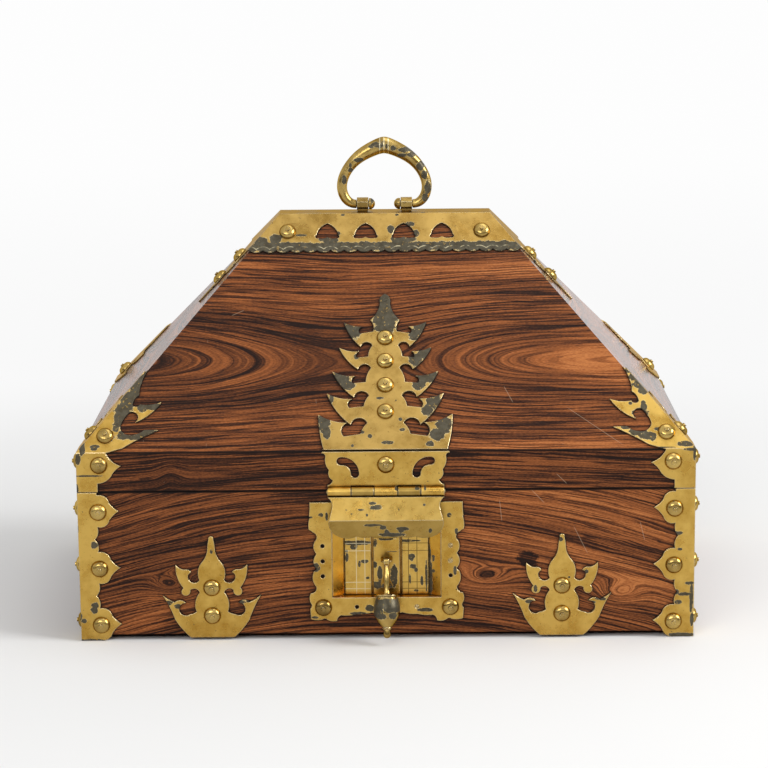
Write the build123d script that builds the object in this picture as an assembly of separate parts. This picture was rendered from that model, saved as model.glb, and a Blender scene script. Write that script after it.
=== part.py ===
"""A small rosewood jewel chest of the Malabar coast, with a hipped lid and cut sheet-brass mounts.

Millimetres. Origin: centre of the underside. +X to the right, +Y to the back, +Z up.
"""

from build123d import *
import math
import os

# ---------------------------------------------------------------- wooden case
case_width = 358.0  # over the wood, without the brass
case_depth = 230.0
joint_height = 89.5  # top edge of the base
wall_thickness = 12.0
wall_bottom = 3.5  # lower edge of the walls above the ground
bottom_thickness = 8.0  # of the bottom board inside the walls
bottom_inset = 8.0  # the bottom board stands in from the walls' faces

# ---------------------------------------------------------------- wooden lid
lid_seam = 0.4  # gap between base and lid
rim_top = 113.0  # where the four slopes start
ridge_top = 237.0
ridge_length = 128.0
ridge_depth = 18.0
slope_thickness = 9.0
rail_height = 20.0  # ridge rail, top to bottom

# ---------------------------------------------------------------- sheet brass and rivets
sheet = 1.0  # corner mounts, ridge cap, small mounts
lock_sheet = 1.4  # lock plate, hasp, crest
floor_gap = 0.2  # the corner mounts end just above the ground
rivet_radius = 5.0
rivet_height = 2.9
nib_radius = 1.2  # peened end of the nail in the middle of each dome
nib_height = 0.9

# ---------------------------------------------------------------- corner mounts
strap_leaf_count = 3
strap_leaf_pitch = 34.1
strap_first_leaf = 10.2  # height of the lowest leaf's tip
strap_width = 10.4
strap_leaf_reach = 23.0
strap_leaf_rise = 9.4
strap_rivet_inset = 11.0
rim_leaf_height = 105.3
rim_leaf_reach = 25.0
hip_rivet = (15.6, 10.8)  # from the corner along the rim, and up the slope

# ---------------------------------------------------------------- ridge cap
cap_flange = 25.5  # down each slope
scallop_width = 8.2
scallop_drop = 0.2  # of its width
heart_pitch = 23.2
heart_count = 4
heart_foot = 18.0  # down the slope from the ridge
cap_rivet_spacing = 118.0
cap_rivet_drop = 12.5
apron_tip = 75.0  # down the side slope from the ridge
apron_rivet_drops = (36.0, 54.5)

# ---------------------------------------------------------------- crest and rim plate
# One row per pair of leaves, from the top: reach, height of the tip, height of the tier.
crest_tiers = [
    (24.4, 86.0, 16.5),
    (27.2, 68.6, 14.5),
    (31.1, 52.4, 17.0),
    (34.3, 37.6, 20.5),
    (39.3, 23.6, 31.0),
]
crest_top = 105.6
crest_rivets = (75.3, 59.5, 43.2, 25.4)
rim_plate_half = 34.6
rim_plate_rivet = 105.2
kidney_arc = (25.5, 99.8, 7.6)  # centre and radius of the cut-out's middle line
kidney_sweep = 95.0
kidney_width = 4.8

# ---------------------------------------------------------------- hasp
hasp_barrel_radius = 2.8
hasp_pin_radius = 1.2
hasp_half = 33.9
hasp_knuckles = 5
knuckle_gap = 0.3
pin_clearance = 0.05
hood_ridge = (10.4, 72.4)  # out from the wood, and height
hood_foot = (5.0, 60.9)
hood_scallops = 3  # each side of the middle
hood_scallop_half = 25.4
loop_radius = 3.2

# ---------------------------------------------------------------- lock
lock_half = 45.0
lock_top = 82.8
lock_bottom = 12.0
window_half = 31.9
window_bottom = 25.3
window_top = 76.0
tray_depth = 7.5
tray_sheet = 1.0
panel_thickness = 1.4
panel_clearance = 0.3
panel_top = 66.0
centre_panel_half = 7.6
shutter_inner = 9.2
shutter_outer = 24.4
band_inner = 24.9
lock_rivets = (37.2, 19.4)
plate_hole_radius = 1.25
plate_side_holes = (38.4, 47.4, 56.6)
plate_hole_side = 37.4
plate_foot_hole = (17.6, 19.6)

# ---------------------------------------------------------------- drop pull
pull_pivot = (2.3, 47.4)  # out from the wood, and height
pull_lean = 18.0  # degrees from hanging straight down
staple_wire = 0.75  # radius
staple_half = 2.6  # from the middle to the middle of a leg
staple_bend = 1.2
eye_gap = 0.35  # round the staple's wire, and beside it
pull_eye_radius = 2.7
pull_tip_radius = 2.2

# ---------------------------------------------------------------- bail handle
bail_pivot_rise = 4.6  # above the ridge cap
bail_section_gap = 0.3  # between the bail's shoulders and its eyes
eye_inner = 9.9  # the barrel eyes, from the middle
eye_outer = 16.9
eye_across = 7.6
bail_pin_radius = 2.0
button_radius = 3.4
button_reach = 5.8  # its inner end, from the middle
button_edge = 1.3
neck_width = 6.2
neck_depth = 5.0
tang_radius = 2.0
tang_clearance = 0.15
washer_radius = 5.0
washer_thickness = 1.5
tang_end = 1.2  # the clenched end, below the washer

# ---------------------------------------------------------------- rear strap hinges
hinge_spacing = 216.0
hinge_half = 13.0
hinge_knuckles = 5
hinge_barrel_radius = 3.0
hinge_pin_radius = 1.3
hinge_sheet = 1.2
hinge_drop = 52.0  # of the leaf on the base, below the joint
hinge_rise = 46.0  # of the leaf on the lid, up the back slope

# ---------------------------------------------------------------- lotus mounts
lotus_offset = 102.6
lotus_bottom = 1.6

half_width = case_width / 2
half_depth = case_depth / 2
lid_bottom = joint_height + lid_seam
axis_height = joint_height + lid_seam / 2

upright = Plane(origin=(0, 0, 0), x_dir=(1, 0, 0), z_dir=(0, -1, 0))  # x to the right, y up, seen from the front
SIDES = {"front": (0, -1), "right": (1, 0), "back": (0, 1), "left": (-1, 0)}
CORNERS = [("front", "right"), ("right", "back"), ("back", "left"), ("left", "front")]
parts = {}


# ================================================================ helpers
def slope_angle(side):
    """Pitch of one lid slope above the horizontal, in radians."""
    half, ridge = lid_halves(side)
    return math.atan2(ridge_top - rim_top, half - ridge)


def lid_halves(side):
    """Half extents of rim and ridge, square to one side."""
    if SIDES[side][0]:
        return half_width, ridge_length / 2
    return half_depth, ridge_depth / 2


def side_half(side):
    """Half length of one side's wall."""
    return half_depth if SIDES[side][0] else half_width


def slope_length(side):
    half, ridge = lid_halves(side)
    return math.hypot(half - ridge, ridge_top - rim_top)


def wall_frame(side):
    """Plane on a wall's outer face: x along the wall, y up from the ground, z outward."""
    dx, dy = SIDES[side]
    return Plane(origin=(dx * half_width, dy * half_depth, 0), x_dir=(-dy, dx, 0), z_dir=(dx, dy, 0))


def slope_frame(side):
    """Plane on a lid slope: x along the rim, y up the slope from the rim, z outward."""
    dx, dy = SIDES[side]
    angle = slope_angle(side)
    normal = (dx * math.sin(angle), dy * math.sin(angle), math.cos(angle))
    return Plane(origin=(dx * half_width, dy * half_depth, rim_top), x_dir=(-dy, dx, 0), z_dir=normal)


def outline(points):
    """A closed face. Each corner is (x, y) or (x, y, hollow); hollow bends the edge that
    follows towards its left, by that share of its length."""
    edges = []
    for corner, following in zip(points, points[1:] + points[:1]):
        start, end = Vector(*corner[:2]), Vector(*following[:2])
        hollow = corner[2] if len(corner) > 2 else 0
        if hollow:
            chord = end - start
            middle = (start + end) / 2 + Vector(-chord.Y, chord.X) * hollow
            edges.append(Edge.make_three_point_arc(start, middle, end))
        else:
            edges.append(Edge.make_line(start, end))
    return Face(Wire(edges))


def flipped(points):
    """The outline mirrored left to right, in the same order."""
    return [(-p[0], p[1], -p[2] if len(p) > 2 else 0) for p in points]


def both_halves(right_half):
    """A symmetric outline from its right half, which runs anticlockwise from foot to top."""
    bends = [p[2] if len(p) > 2 else 0 for p in right_half]
    left_half = []
    for index in range(len(right_half) - 1, 0, -1):
        x, y = right_half[index][:2]
        left_half.append((-x, y, bends[index - 1]))
    if right_half[-1][0] == 0:
        return right_half[:-1] + [(0, right_half[-1][1], bends[-2])] + left_half[1:]
    return right_half + left_half


def moved(points, dx, dy):
    return [(p[0] + dx, p[1] + dy, *p[2:]) for p in points]


def plate(frame, points, thickness):
    return extrude(frame * outline(points), amount=thickness, dir=frame.z_dir)


def block(x0, x1, y0, y1, z0, z1):
    size = (x1 - x0, y1 - y0, z1 - z0)
    return Pos((x0 + x1) / 2, (y0 + y1) / 2, (z0 + z1) / 2) * Box(*size)


def rod(x0, x1, y, z, radius):
    """A cylinder along X."""
    return Pos((x0 + x1) / 2, y, z) * Rot(0, 90, 0) * Cylinder(radius, x1 - x0)


def front_y(out):
    """Y of a point that stands this far out from the front wall's wood."""
    return -half_depth - out


def rivet():
    """A domed nail head with its peened nib, standing on z = 0."""
    shoulder = rivet_height * 0.82
    with BuildSketch(Plane.XZ) as section:
        with BuildLine():
            Polyline((0, 0), (rivet_radius, 0), (rivet_radius, 0.4))
            ThreePointArc((rivet_radius, 0.4), (rivet_radius * 0.72, shoulder), (nib_radius, rivet_height))
            Polyline((nib_radius, rivet_height), (nib_radius, rivet_height + nib_height))
            Polyline((nib_radius, rivet_height + nib_height), (0, rivet_height + nib_height), (0, 0))
        make_face()
    return revolve(section.sketch, axis=Axis.Z)


def rivets_on(frame, places, lift):
    """Rivets at (x, y) places of a frame, standing on a sheet of that thickness."""
    return [frame * (Pos(x, y, lift) * rivet()) for x, y in places]


def keep(name, *solids):
    parts[name] = Compound(children=[s for group in solids for s in Compound([group]).solids()])


# ================================================================ wooden shells
def house(side, wall, slope, top):
    """Section of the lid square to a side, drawn in by wall, slope and top insets."""
    half, ridge = lid_halves(side)
    angle = slope_angle(side)
    drop = slope / math.cos(angle)
    eave = rim_top + wall * math.tan(angle) - drop
    ceiling = min(ridge_top - top, rim_top + half * math.tan(angle) - drop - 0.01)
    shoulder = half - (ceiling - rim_top + drop) / math.tan(angle)
    right = [(half - wall, lid_bottom), (half - wall, eave), (shoulder, ceiling)]
    return right + [(-x, z) for x, z in reversed(right)]


def lid_form(wall, slope, top):
    """The lid's whole form, drawn in (or grown, below zero) by the three insets."""
    along_x = extrude(Plane.YZ * outline(house("front", wall, slope, top)), amount=case_width, both=True)
    along_y = extrude(upright * outline(house("right", wall, slope, top)), amount=case_width, both=True)
    return along_x & along_y


def mitred(shell, side, sloped):
    """The part of a four-sided shell that belongs to one side, cut at its corner mitres."""

    def outward(name):
        dx, dy = SIDES[name]
        angle = slope_angle(name) if sloped else math.pi / 2
        return Vector(dx * math.sin(angle), dy * math.sin(angle), math.cos(angle))

    dx, dy = SIDES[side]
    board = split(shell, bisect_by=Plane(origin=(0, 0, 0), z_dir=(dx, dy, 0)), keep=Keep.TOP)
    for other, (ox, oy) in SIDES.items():
        if dx * ox + dy * oy == 0:
            corner = ((dx + ox) * half_width, (dy + oy) * half_depth, rim_top)
            mitre = Plane(origin=corner, z_dir=outward(side) - outward(other))
            board = split(board, bisect_by=mitre, keep=Keep.TOP)
    return board


def make_base_boards():
    shell = block(-half_width, half_width, -half_depth, half_depth, wall_bottom, joint_height)
    inner = wall_thickness
    shell -= block(
        inner - half_width, half_width - inner, inner - half_depth, half_depth - inner, 0, joint_height + 1
    )
    shell -= lock_pocket(0)
    for side in SIDES:
        keep(f"base_{side}_board", mitred(shell, side, False))
    plinth = block(
        bottom_inset - half_width,
        half_width - bottom_inset,
        bottom_inset - half_depth,
        half_depth - bottom_inset,
        0,
        wall_bottom,
    )
    panel = block(
        inner - half_width,
        half_width - inner,
        inner - half_depth,
        half_depth - inner,
        wall_bottom,
        wall_bottom + bottom_thickness,
    )
    keep("base_bottom_board", plinth + panel)


def make_lid_boards():
    outer = lid_form(0, 0, 0)
    shell = outer - lid_form(wall_thickness, slope_thickness, 0)
    above = block(-case_width, case_width, -case_depth, case_depth, rim_top, 2 * ridge_top)
    rims = shell - above
    slopes = shell & above
    rail_zone = block(
        -half_width, half_width, -ridge_depth / 2, ridge_depth / 2, ridge_top - rail_height, ridge_top
    )
    rail = rail_zone & outer
    for side in SIDES:
        keep(f"lid_rim_{side}", mitred(rims, side, False))
        board = mitred(slopes, side, True)
        if side in ("front", "back"):
            board -= rail_zone
        else:
            rail -= board
        keep(f"lid_slope_{side}", board)
    for x in (-1, 1):
        tang = Pos(x * (eye_inner + eye_outer) / 2, 0, ridge_top) * Cylinder(
            tang_radius + tang_clearance, 3 * rail_height
        )
        rail -= tang
    keep("lid_ridge_rail", rail)


# ================================================================ corner mounts
def strap_outline():
    """One face of a base corner mount, from the corner's edge inward."""
    points = [(-sheet, floor_gap), (strap_width, floor_gap)]
    for index in range(strap_leaf_count):
        tip = strap_first_leaf + index * strap_leaf_pitch
        if index:
            points.append((strap_width, tip - strap_leaf_rise, -0.22))
        else:
            points[-1] = (strap_width, floor_gap, -0.2)
        points += [
            (strap_leaf_reach - 5.6, tip - 5.6, 0.06),
            (strap_leaf_reach, tip, 0.06),
            (strap_leaf_reach - 5.4, tip + 4.8, -0.22),
        ]
        if index + 1 < strap_leaf_count:
            points.append((strap_width, tip + strap_leaf_rise, -0.14))
            points.append((strap_width - 1.7, tip + strap_leaf_pitch / 2, -0.14))
    points += [(strap_width, joint_height - 1.6), (strap_width, joint_height), (-sheet, joint_height)]
    return points


def rim_corner_outline():
    """One vertical face of a lid corner mount; it runs on above the rim and is trimmed there."""
    over = rim_top + 4 * sheet
    reach, tip = rim_leaf_reach, rim_leaf_height
    return [
        (-sheet, lid_bottom),
        (strap_width + 0.8, lid_bottom),
        (strap_width + 0.8, tip - 10.3, -0.12),
        (reach - 5.6, tip - 5.8, 0.08),
        (reach, tip, 0.1),
        (reach - 8.4, rim_top - 0.6),
        (reach - 8.4, over),
        (-sheet, over),
    ]


def hip_plume_outline():
    """The flame-shaped plume up a hip edge; the part beyond the hip is trimmed."""
    foot = -4 * sheet
    return [
        (foot, foot),
        (rim_leaf_reach - 8.4, foot),
        (rim_leaf_reach - 8.4, -0.3),
        (26.0, 2.6, 0.02),
        (46.4, 14.4),
        (38.4, 14.6, 0.08),
        (32.4, 11.4, 0.24),
        (24.0, 16.6, 0.08),
        (29.4, 26.6, 0.42),
        (32.8, 19.6, -0.08),
        (47.6, 33.0, 0.08),
        (35.0, 31.6, 0.34),
        (30.6, 31.4, 0.12),
        (34.4, 38.0, 0.06),
        (35.4, 46.0, 0.05),
        (39.0, 54.8),
        (12.0, 30.0),
    ]


def at_end(points, side, end):
    """Moves a corner outline to the left (-1) or right (+1) end of a side."""
    shifted = moved(points, -side_half(side), 0)
    return shifted if end < 0 else flipped(shifted)


def make_corner_mounts():
    trim = lid_form(-sheet, -sheet, -sheet)
    for first, second in CORNERS:
        name = "_".join(sorted((first, second), key=("front", "back", "left", "right").index))
        strap = None
        cover = None
        for side, end in ((first, 1), (second, -1)):
            base_leg = plate(wall_frame(side), at_end(strap_outline(), side, end), sheet)
            rim_leg = plate(wall_frame(side), at_end(rim_corner_outline(), side, end), sheet)
            plume = plate(slope_frame(side), at_end(hip_plume_outline(), side, end), sheet)
            strap = base_leg if strap is None else strap + base_leg
            cover = rim_leg + plume if cover is None else cover + rim_leg + plume
        keep(f"base_corner_{name}", strap)
        keep(f"lid_corner_{name}", cover & trim)


def corner_rivets(side, base):
    """Rivets of both corners of one side, on the base or on the lid."""
    tips = [strap_first_leaf - 0.6 + i * strap_leaf_pitch for i in range(strap_leaf_count)]
    solids = []
    for end in (-1, 1):
        inset = side_half(side) - strap_rivet_inset
        if base:
            solids += rivets_on(wall_frame(side), [(end * inset, tip) for tip in tips], sheet)
        else:
            solids += rivets_on(wall_frame(side), [(end * (inset - 1.2), rim_leaf_height + 0.6)], sheet)
            hip = (end * (side_half(side) - hip_rivet[0]), hip_rivet[1])
            solids += rivets_on(slope_frame(side), [hip], sheet)
    return solids


# ================================================================ ridge cap
def scalloped_edge(half, level):
    """A row of round lobes along a flange's lower edge, from left to right."""
    count = max(2, round(2 * half / scallop_width))
    step = 2 * half / count
    return [(-half + i * step, level, -scallop_drop) for i in range(count)] + [(half, level)]


def heart_outline():
    half = [(0, 1.4, -0.12), (5.4, 0.6, -0.5), (6.6, 3.0, -0.14), (0, 11.3)]
    return both_halves(half)


def cap_flange_solid(side):
    """One folded-down side of the cap; it runs past the hips and the ridge and is trimmed."""
    top = slope_length(side)
    hip_run = (side_half(side) - lid_halves("right" if side in ("front", "back") else "front")[1]) / top
    level = top - cap_flange
    half = side_half(side) - hip_run * level
    over = 4 * sheet
    points = scalloped_edge(half, level)
    points = [(-half - over, level)] + points + [(half + over, level), (half + over, top + over)]
    return plate(slope_frame(side), points + [(-half - over, top + over)], sheet)


def apron_outline(side):
    """Pointed apron down the middle of a side slope."""
    top = slope_length(side)
    tip = top - apron_tip
    shoulder = top - cap_flange + 1.5
    half = [
        (0, tip, 0.03),
        (3.4, tip + 13.0, -0.12),
        (8.4, tip + 19.0, 0.3),
        (6.0, tip + 24.5, -0.2),
        (11.6, tip + 34.0, 0.3),
        (9.2, tip + 39.0, -0.15),
        (14.5, shoulder),
    ]
    return both_halves(half)


def make_ridge_cap():
    top = ridge_length / 2 + 4 * sheet
    deep = ridge_depth / 2 + 4 * sheet
    cap = block(-top, top, -deep, deep, ridge_top, ridge_top + sheet)
    for side in SIDES:
        cap += cap_flange_solid(side)
        if side in ("left", "right"):
            cap += plate(slope_frame(side), apron_outline(side), sheet)
    cap &= lid_form(-sheet, -sheet, -sheet)
    for side in ("front", "back"):
        foot = slope_length(side) - heart_foot
        for index in range(heart_count):
            x = (index - (heart_count - 1) / 2) * heart_pitch
            hole = extrude(slope_frame(side) * outline(moved(heart_outline(), x, foot)), amount=2 * sheet, both=True)
            cap -= hole
    for x in (-1, 1):
        cap -= Pos(x * (eye_inner + eye_outer) / 2, 0, ridge_top) * Cylinder(tang_radius + tang_clearance, 8 * sheet)
    keep("ridge_cap", cap)
    solids = []
    for side in ("front", "back"):
        level = slope_length(side) - cap_rivet_drop
        solids += rivets_on(
            slope_frame(side), [(-cap_rivet_spacing / 2, level), (cap_rivet_spacing / 2, level)], sheet
        )
    for side in ("left", "right"):
        places = [(0, slope_length(side) - drop) for drop in apron_rivet_drops]
        solids += rivets_on(slope_frame(side), places, sheet)
    keep("ridge_cap_rivets", *solids)


# ================================================================ crest, rim plate and hasp
def crest_outline():
    """Spire with five pairs of flame leaves, drawn from its foot up the right side."""
    half = [(0, 0.4), (rim_plate_half + 1.4, 0.4, -0.03)]
    for row, (reach, tip, height) in enumerate(reversed(crest_tiers)):
        if row:
            half += [(0.31 * reach, tip - 0.97 * height, 0.42), (0.59 * reach, tip - 1.02 * height, -0.07)]
        half += [
            (reach, tip, 0.08),
            (0.57 * reach, tip - 0.18 * height, 0.26),
            (0.62 * reach, tip - 0.47 * height),
            (0.37 * reach, tip - 0.42 * height, -0.08),
        ]
    neck = crest_top - 5.5
    half[-1] = (7.0, crest_tiers[0][1] - 6.4, 0.12)
    half += [(8.6, crest_tiers[0][1] + 1.6, 0.1), (3.0, neck, -0.2), (0, crest_top)]
    return both_halves(half)


def rim_plate_outline():
    foot = axis_height + hasp_barrel_radius + knuckle_gap
    half = [
        (0, foot),
        (hasp_half, foot, 0.1),
        (rim_plate_half - 3.8, foot + 3.2, -0.2),
        (rim_plate_half - 1.6, foot + 9.4, -0.12),
        (rim_plate_half + 0.4, rim_top - 2.6, 0.22),
        (rim_plate_half + 2.6, rim_top - 0.8),
        (rim_plate_half + 2.2, rim_top),
        (0, rim_top),
    ]
    return both_halves(half)


def hinge_barrel(half, count, own, y, z, radius, bore):
    """Every second knuckle of a hinge barrel along X, starting with the first or the second."""
    length = 2 * half / count
    knuckles = []
    for index in range(0 if own else 1, count, 2):
        start = -half + index * length + (knuckle_gap / 2 if index else 0)
        end = -half + (index + 1) * length - (knuckle_gap / 2 if index + 1 < count else 0)
        knuckles.append((start, end, rod(start, end, y, z, radius) - rod(start - 1, end + 1, y, z, bore)))
    return knuckles


def barrel_with_fingers(half, count, own, axis, radius, pin, finger):
    """Knuckles, each joined to its leaf by a finger between two points of (y0, y1, z0, z1)."""
    bore = pin + pin_clearance
    solid = None
    for start, end, knuckle in hinge_barrel(half, count, own, *axis, radius, bore):
        arm = block(start, end, *finger) - rod(start - 1, end + 1, *axis, radius - 0.6)
        piece = knuckle + arm
        solid = piece if solid is None else solid + piece
    return solid


def make_crest_and_rim_plate():
    keep("lid_crest", plate(slope_frame("front"), crest_outline(), lock_sheet) - crest_undercut())
    frame = wall_frame("front")
    leaf = plate(frame, rim_plate_outline(), lock_sheet)
    x, z, radius = kidney_arc
    for end, start_angle in ((-1, 0), (1, 180 - kidney_sweep)):
        middle_line = CenterArc((end * x, z), radius, start_angle=start_angle, arc_size=kidney_sweep)
        slot = SlotArc(middle_line, kidney_width)
        leaf -= extrude(frame * slot, amount=2 * lock_sheet, both=True)
    leaf = leaf & trim_under_slope()
    fingers = barrel_with_fingers(
        hasp_half,
        hasp_knuckles,
        True,
        hasp_axis(),
        hasp_barrel_radius,
        hasp_pin_radius,
        (front_y(lock_sheet), front_y(0), axis_height, axis_height + hasp_barrel_radius + knuckle_gap + 0.5),
    )
    keep("hasp_rim_plate", leaf + fingers)
    pin = rod(-hasp_half - 0.6, hasp_half + 0.6, *hasp_axis(), hasp_pin_radius)
    keep("hasp_pin", pin)
    solids = rivets_on(slope_frame("front"), [(0, s) for s in crest_rivets], lock_sheet)
    solids += rivets_on(frame, [(0, rim_plate_rivet)], lock_sheet)
    keep("crest_rivets", *solids)


def hasp_axis():
    """Y and Z of the hasp's hinge axis, in front of the rim."""
    return front_y(lock_sheet + hasp_barrel_radius - 0.2), axis_height


def trim_under_slope():
    """Everything below the mitre between the rim plate and the crest's slope."""
    return lid_form(-lock_sheet, -lock_sheet, -lock_sheet) & block(
        -half_width, half_width, -case_depth, 0, lid_bottom - 5, rim_top
    )


def crest_undercut():
    """Room for the rim plate's top edge under the crest's foot."""
    return block(-half_width, half_width, -case_depth, 0, 0, rim_top)


def make_hasp():
    """The hood: a folded sheet that bellies out over the lock, hinged under the rim plate."""
    y, z = hasp_axis()
    root = (front_y(0) - y + hasp_barrel_radius - lock_sheet / 2 - 0.2, z - 1.6)
    middle = [root, hood_ridge, hood_foot]
    outer = strip_side(middle, lock_sheet / 2)
    inner = strip_side(middle, -lock_sheet / 2)
    section = outline([(front_y(out), level) for out, level in outer + inner[::-1]])
    hood = extrude(Plane.YZ * section, amount=hasp_half + 2, both=True)
    hood &= extrude(upright * outline(hood_outline()), amount=case_width)
    length = 2 * hasp_half / hasp_knuckles
    for index in range(0, hasp_knuckles, 2):
        left = -hasp_half + index * length - knuckle_gap / 2
        right = left + length + knuckle_gap
        hood -= rod(left, right, y, z, hasp_barrel_radius + knuckle_gap)
    bore = hasp_pin_radius + pin_clearance
    for left, right, knuckle in hinge_barrel(hasp_half, hasp_knuckles, False, y, z, hasp_barrel_radius, bore):
        hood -= rod(left - 1, right + 1, y, z, hasp_barrel_radius - 0.3)
        hood += knuckle
    keep("hasp_flap", hood)
    keep("hasp_loop", hasp_loop())


def hood_outline():
    """The hood seen from the front: waisted sides and a scalloped lower edge."""
    foot = hood_foot[1] - 1.0
    step = hood_scallop_half / hood_scallops
    half = [(index * step, foot + 1.4, -0.12) for index in range(hood_scallops)]
    half += [
        (hood_scallop_half, foot + 1.0, -0.08),
        (hasp_half - 2.9, foot + 2.6, -0.12),
        (hasp_half + 0.1, foot + 8.4, -0.08),
        (hasp_half - 1.7, foot + 18.0, 0.1),
        (hasp_half, foot + 25.6),
        (hasp_half, axis_height),
        (0, axis_height),
    ]
    return both_halves(half)


def strip_side(middle, offset):
    """The middle line of a folded strip moved sideways, mitred at its folds."""
    moved_points = []
    for index, point in enumerate(middle):
        before = middle[max(index - 1, 0)]
        after = middle[min(index + 1, len(middle) - 1)]
        here = Vector(*point)
        normals = []
        for a, b in ((before, point), (point, after)):
            run = Vector(*b) - Vector(*a)
            if run.length > 0:
                normals.append(Vector(-run.Y, run.X).normalized())
        mitre = normals[0] if len(normals) == 1 else (normals[0] + normals[1]).normalized()
        reach = offset / mitre.dot(normals[0])
        moved_points.append(tuple(here + mitre * reach)[:2])
    return moved_points


def hasp_loop():
    """Half-ring catch inside the hood, standing square to its lower fold."""
    centre_height = (hood_ridge[1] + hood_foot[1]) / 2
    out = (hood_ridge[0] + hood_foot[0]) / 2
    ring = Pos(0, front_y(out - 1.2), centre_height) * Rot(0, 90, 0) * (
        Cylinder(loop_radius, 2.4) - Cylinder(loop_radius - 1.4, 3)
    )
    behind = Plane.YZ * outline(
        [
            (front_y(o), level)
            for o, level in strip_side([hood_ridge, hood_foot], -lock_sheet / 2)
            + [(lock_sheet + 0.4, hood_foot[1] - 2), (lock_sheet + 0.4, hood_ridge[1] + 2)]
        ]
    )
    return ring & extrude(behind, amount=5, both=True)


# ================================================================ lock
def lock_pocket(clearance):
    """The recess cut in the front board for the lock's tray."""
    grow = tray_sheet + clearance
    return block(
        -window_half - grow,
        window_half + grow,
        front_y(0.01),
        front_y(-tray_depth),
        window_bottom - grow,
        window_top + grow,
    )


def lock_plate_outline():
    foot = lock_bottom
    half = [
        (0, foot + 3.4, -0.03),
        (9.0, foot + 4.2, -0.05),
        (18.0, foot + 3.2, -0.05),
        (27.0, foot + 2.6, 0.15),
        (29.4, foot - 0.8, -0.12),
        (35.4, foot + 0.2, 0.2),
        (37.6, foot + 0.2, -0.08),
        (lock_half - 0.4, foot + 0.4),
        (lock_half, foot + 6.6, 0.12),
        (lock_half - 0.9, foot + 9.2, -0.14),
        (lock_half - 0.4, foot + 16.0, 0.24),
        (lock_half - 3.8, foot + 20.0, -0.16),
        (lock_half - 2.6, foot + 29.4, 0.12),
        (lock_half - 4.2, foot + 30.8, -0.2),
        (lock_half - 3.8, foot + 39.4, 0.1),
        (lock_half - 3.8, foot + 40.2, -0.16),
        (lock_half - 3.2, foot + 47.6, 0.3),
        (lock_half - 2.0, foot + 53.0, 0.1),
        (lock_half + 0.2, foot + 54.4, -0.06),
        (lock_half - 0.2, foot + 61.4, 0.3),
        (lock_half, foot + 62.6, 0.02),
        (lock_half - 0.4, lock_top),
        (0, lock_top),
    ]
    return both_halves(half)


def make_lock():
    frame = wall_frame("front")
    lock = plate(frame, lock_plate_outline(), lock_sheet)
    lock -= block(
        -window_half, window_half, front_y(3), front_y(-1), window_bottom, window_top
    )
    holes = [(x * plate_hole_side, level) for x in (-1, 1) for level in plate_side_holes]
    holes += [(x * plate_foot_hole[0], plate_foot_hole[1]) for x in (-1, 1)]
    for x, level in holes:
        lock -= Pos(x, front_y(0), level) * Rot(90, 0, 0) * Cylinder(plate_hole_radius, 6 * lock_sheet)
    keep("lock_plate", lock)
    keep("lock_plate_rivets", *rivets_on(frame, [(x * lock_rivets[0], lock_rivets[1]) for x in (-1, 1)], lock_sheet))

    tray = lock_pocket(0) - block(
        -window_half, window_half, front_y(1), front_y(-tray_depth + tray_sheet), window_bottom, window_top
    )
    tray = tray & block(-case_width, case_width, front_y(0), 0, 0, joint_height)
    keep("lock_tray", tray)

    back = -tray_depth + tray_sheet + panel_clearance
    face = back + panel_thickness
    foot = window_bottom + panel_clearance
    centre = block(-centre_panel_half, centre_panel_half, front_y(face), front_y(back), foot, panel_top)
    keep("lock_slide", centre)
    for name, sign in (("left", -1), ("right", 1)):
        x0, x1 = sorted((sign * shutter_inner, sign * shutter_outer))
        keep(f"lock_shutter_{name}", block(x0, x1, front_y(face), front_y(back), foot, panel_top))
        near = (window_half - 0.05, -0.1)
        far = (band_inner, face + panel_clearance + 0.2)
        band = [near, (near[0], near[1] - 1.1), (far[0] + 1.2, far[1]), far]
        section = outline([(sign * x, front_y(out)) for x, out in band])
        solid = extrude(Plane(origin=(0, 0, window_bottom)) * section, amount=window_top - window_bottom, dir=(0, 0, 1))
        keep(f"lock_splay_{name}", solid)
    keep("pull_staple", pull_staple(face))
    keep("drop_pull", drop_pull())


def pull_staple(face):
    """A wire bent to a U and let into the centre panel: the pull's eye hangs on its bar."""
    out, level = pull_pivot
    y = front_y(out)
    inside = front_y(face)
    path = FilletPolyline(
        (-staple_half, inside, level),
        (-staple_half, y, level),
        (staple_half, y, level),
        (staple_half, inside, level),
        radius=staple_bend,
    )
    section = Plane(origin=(-staple_half, inside, level), z_dir=(0, -1, 0)) * Circle(staple_wire)
    return sweep(section, path=path)


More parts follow.
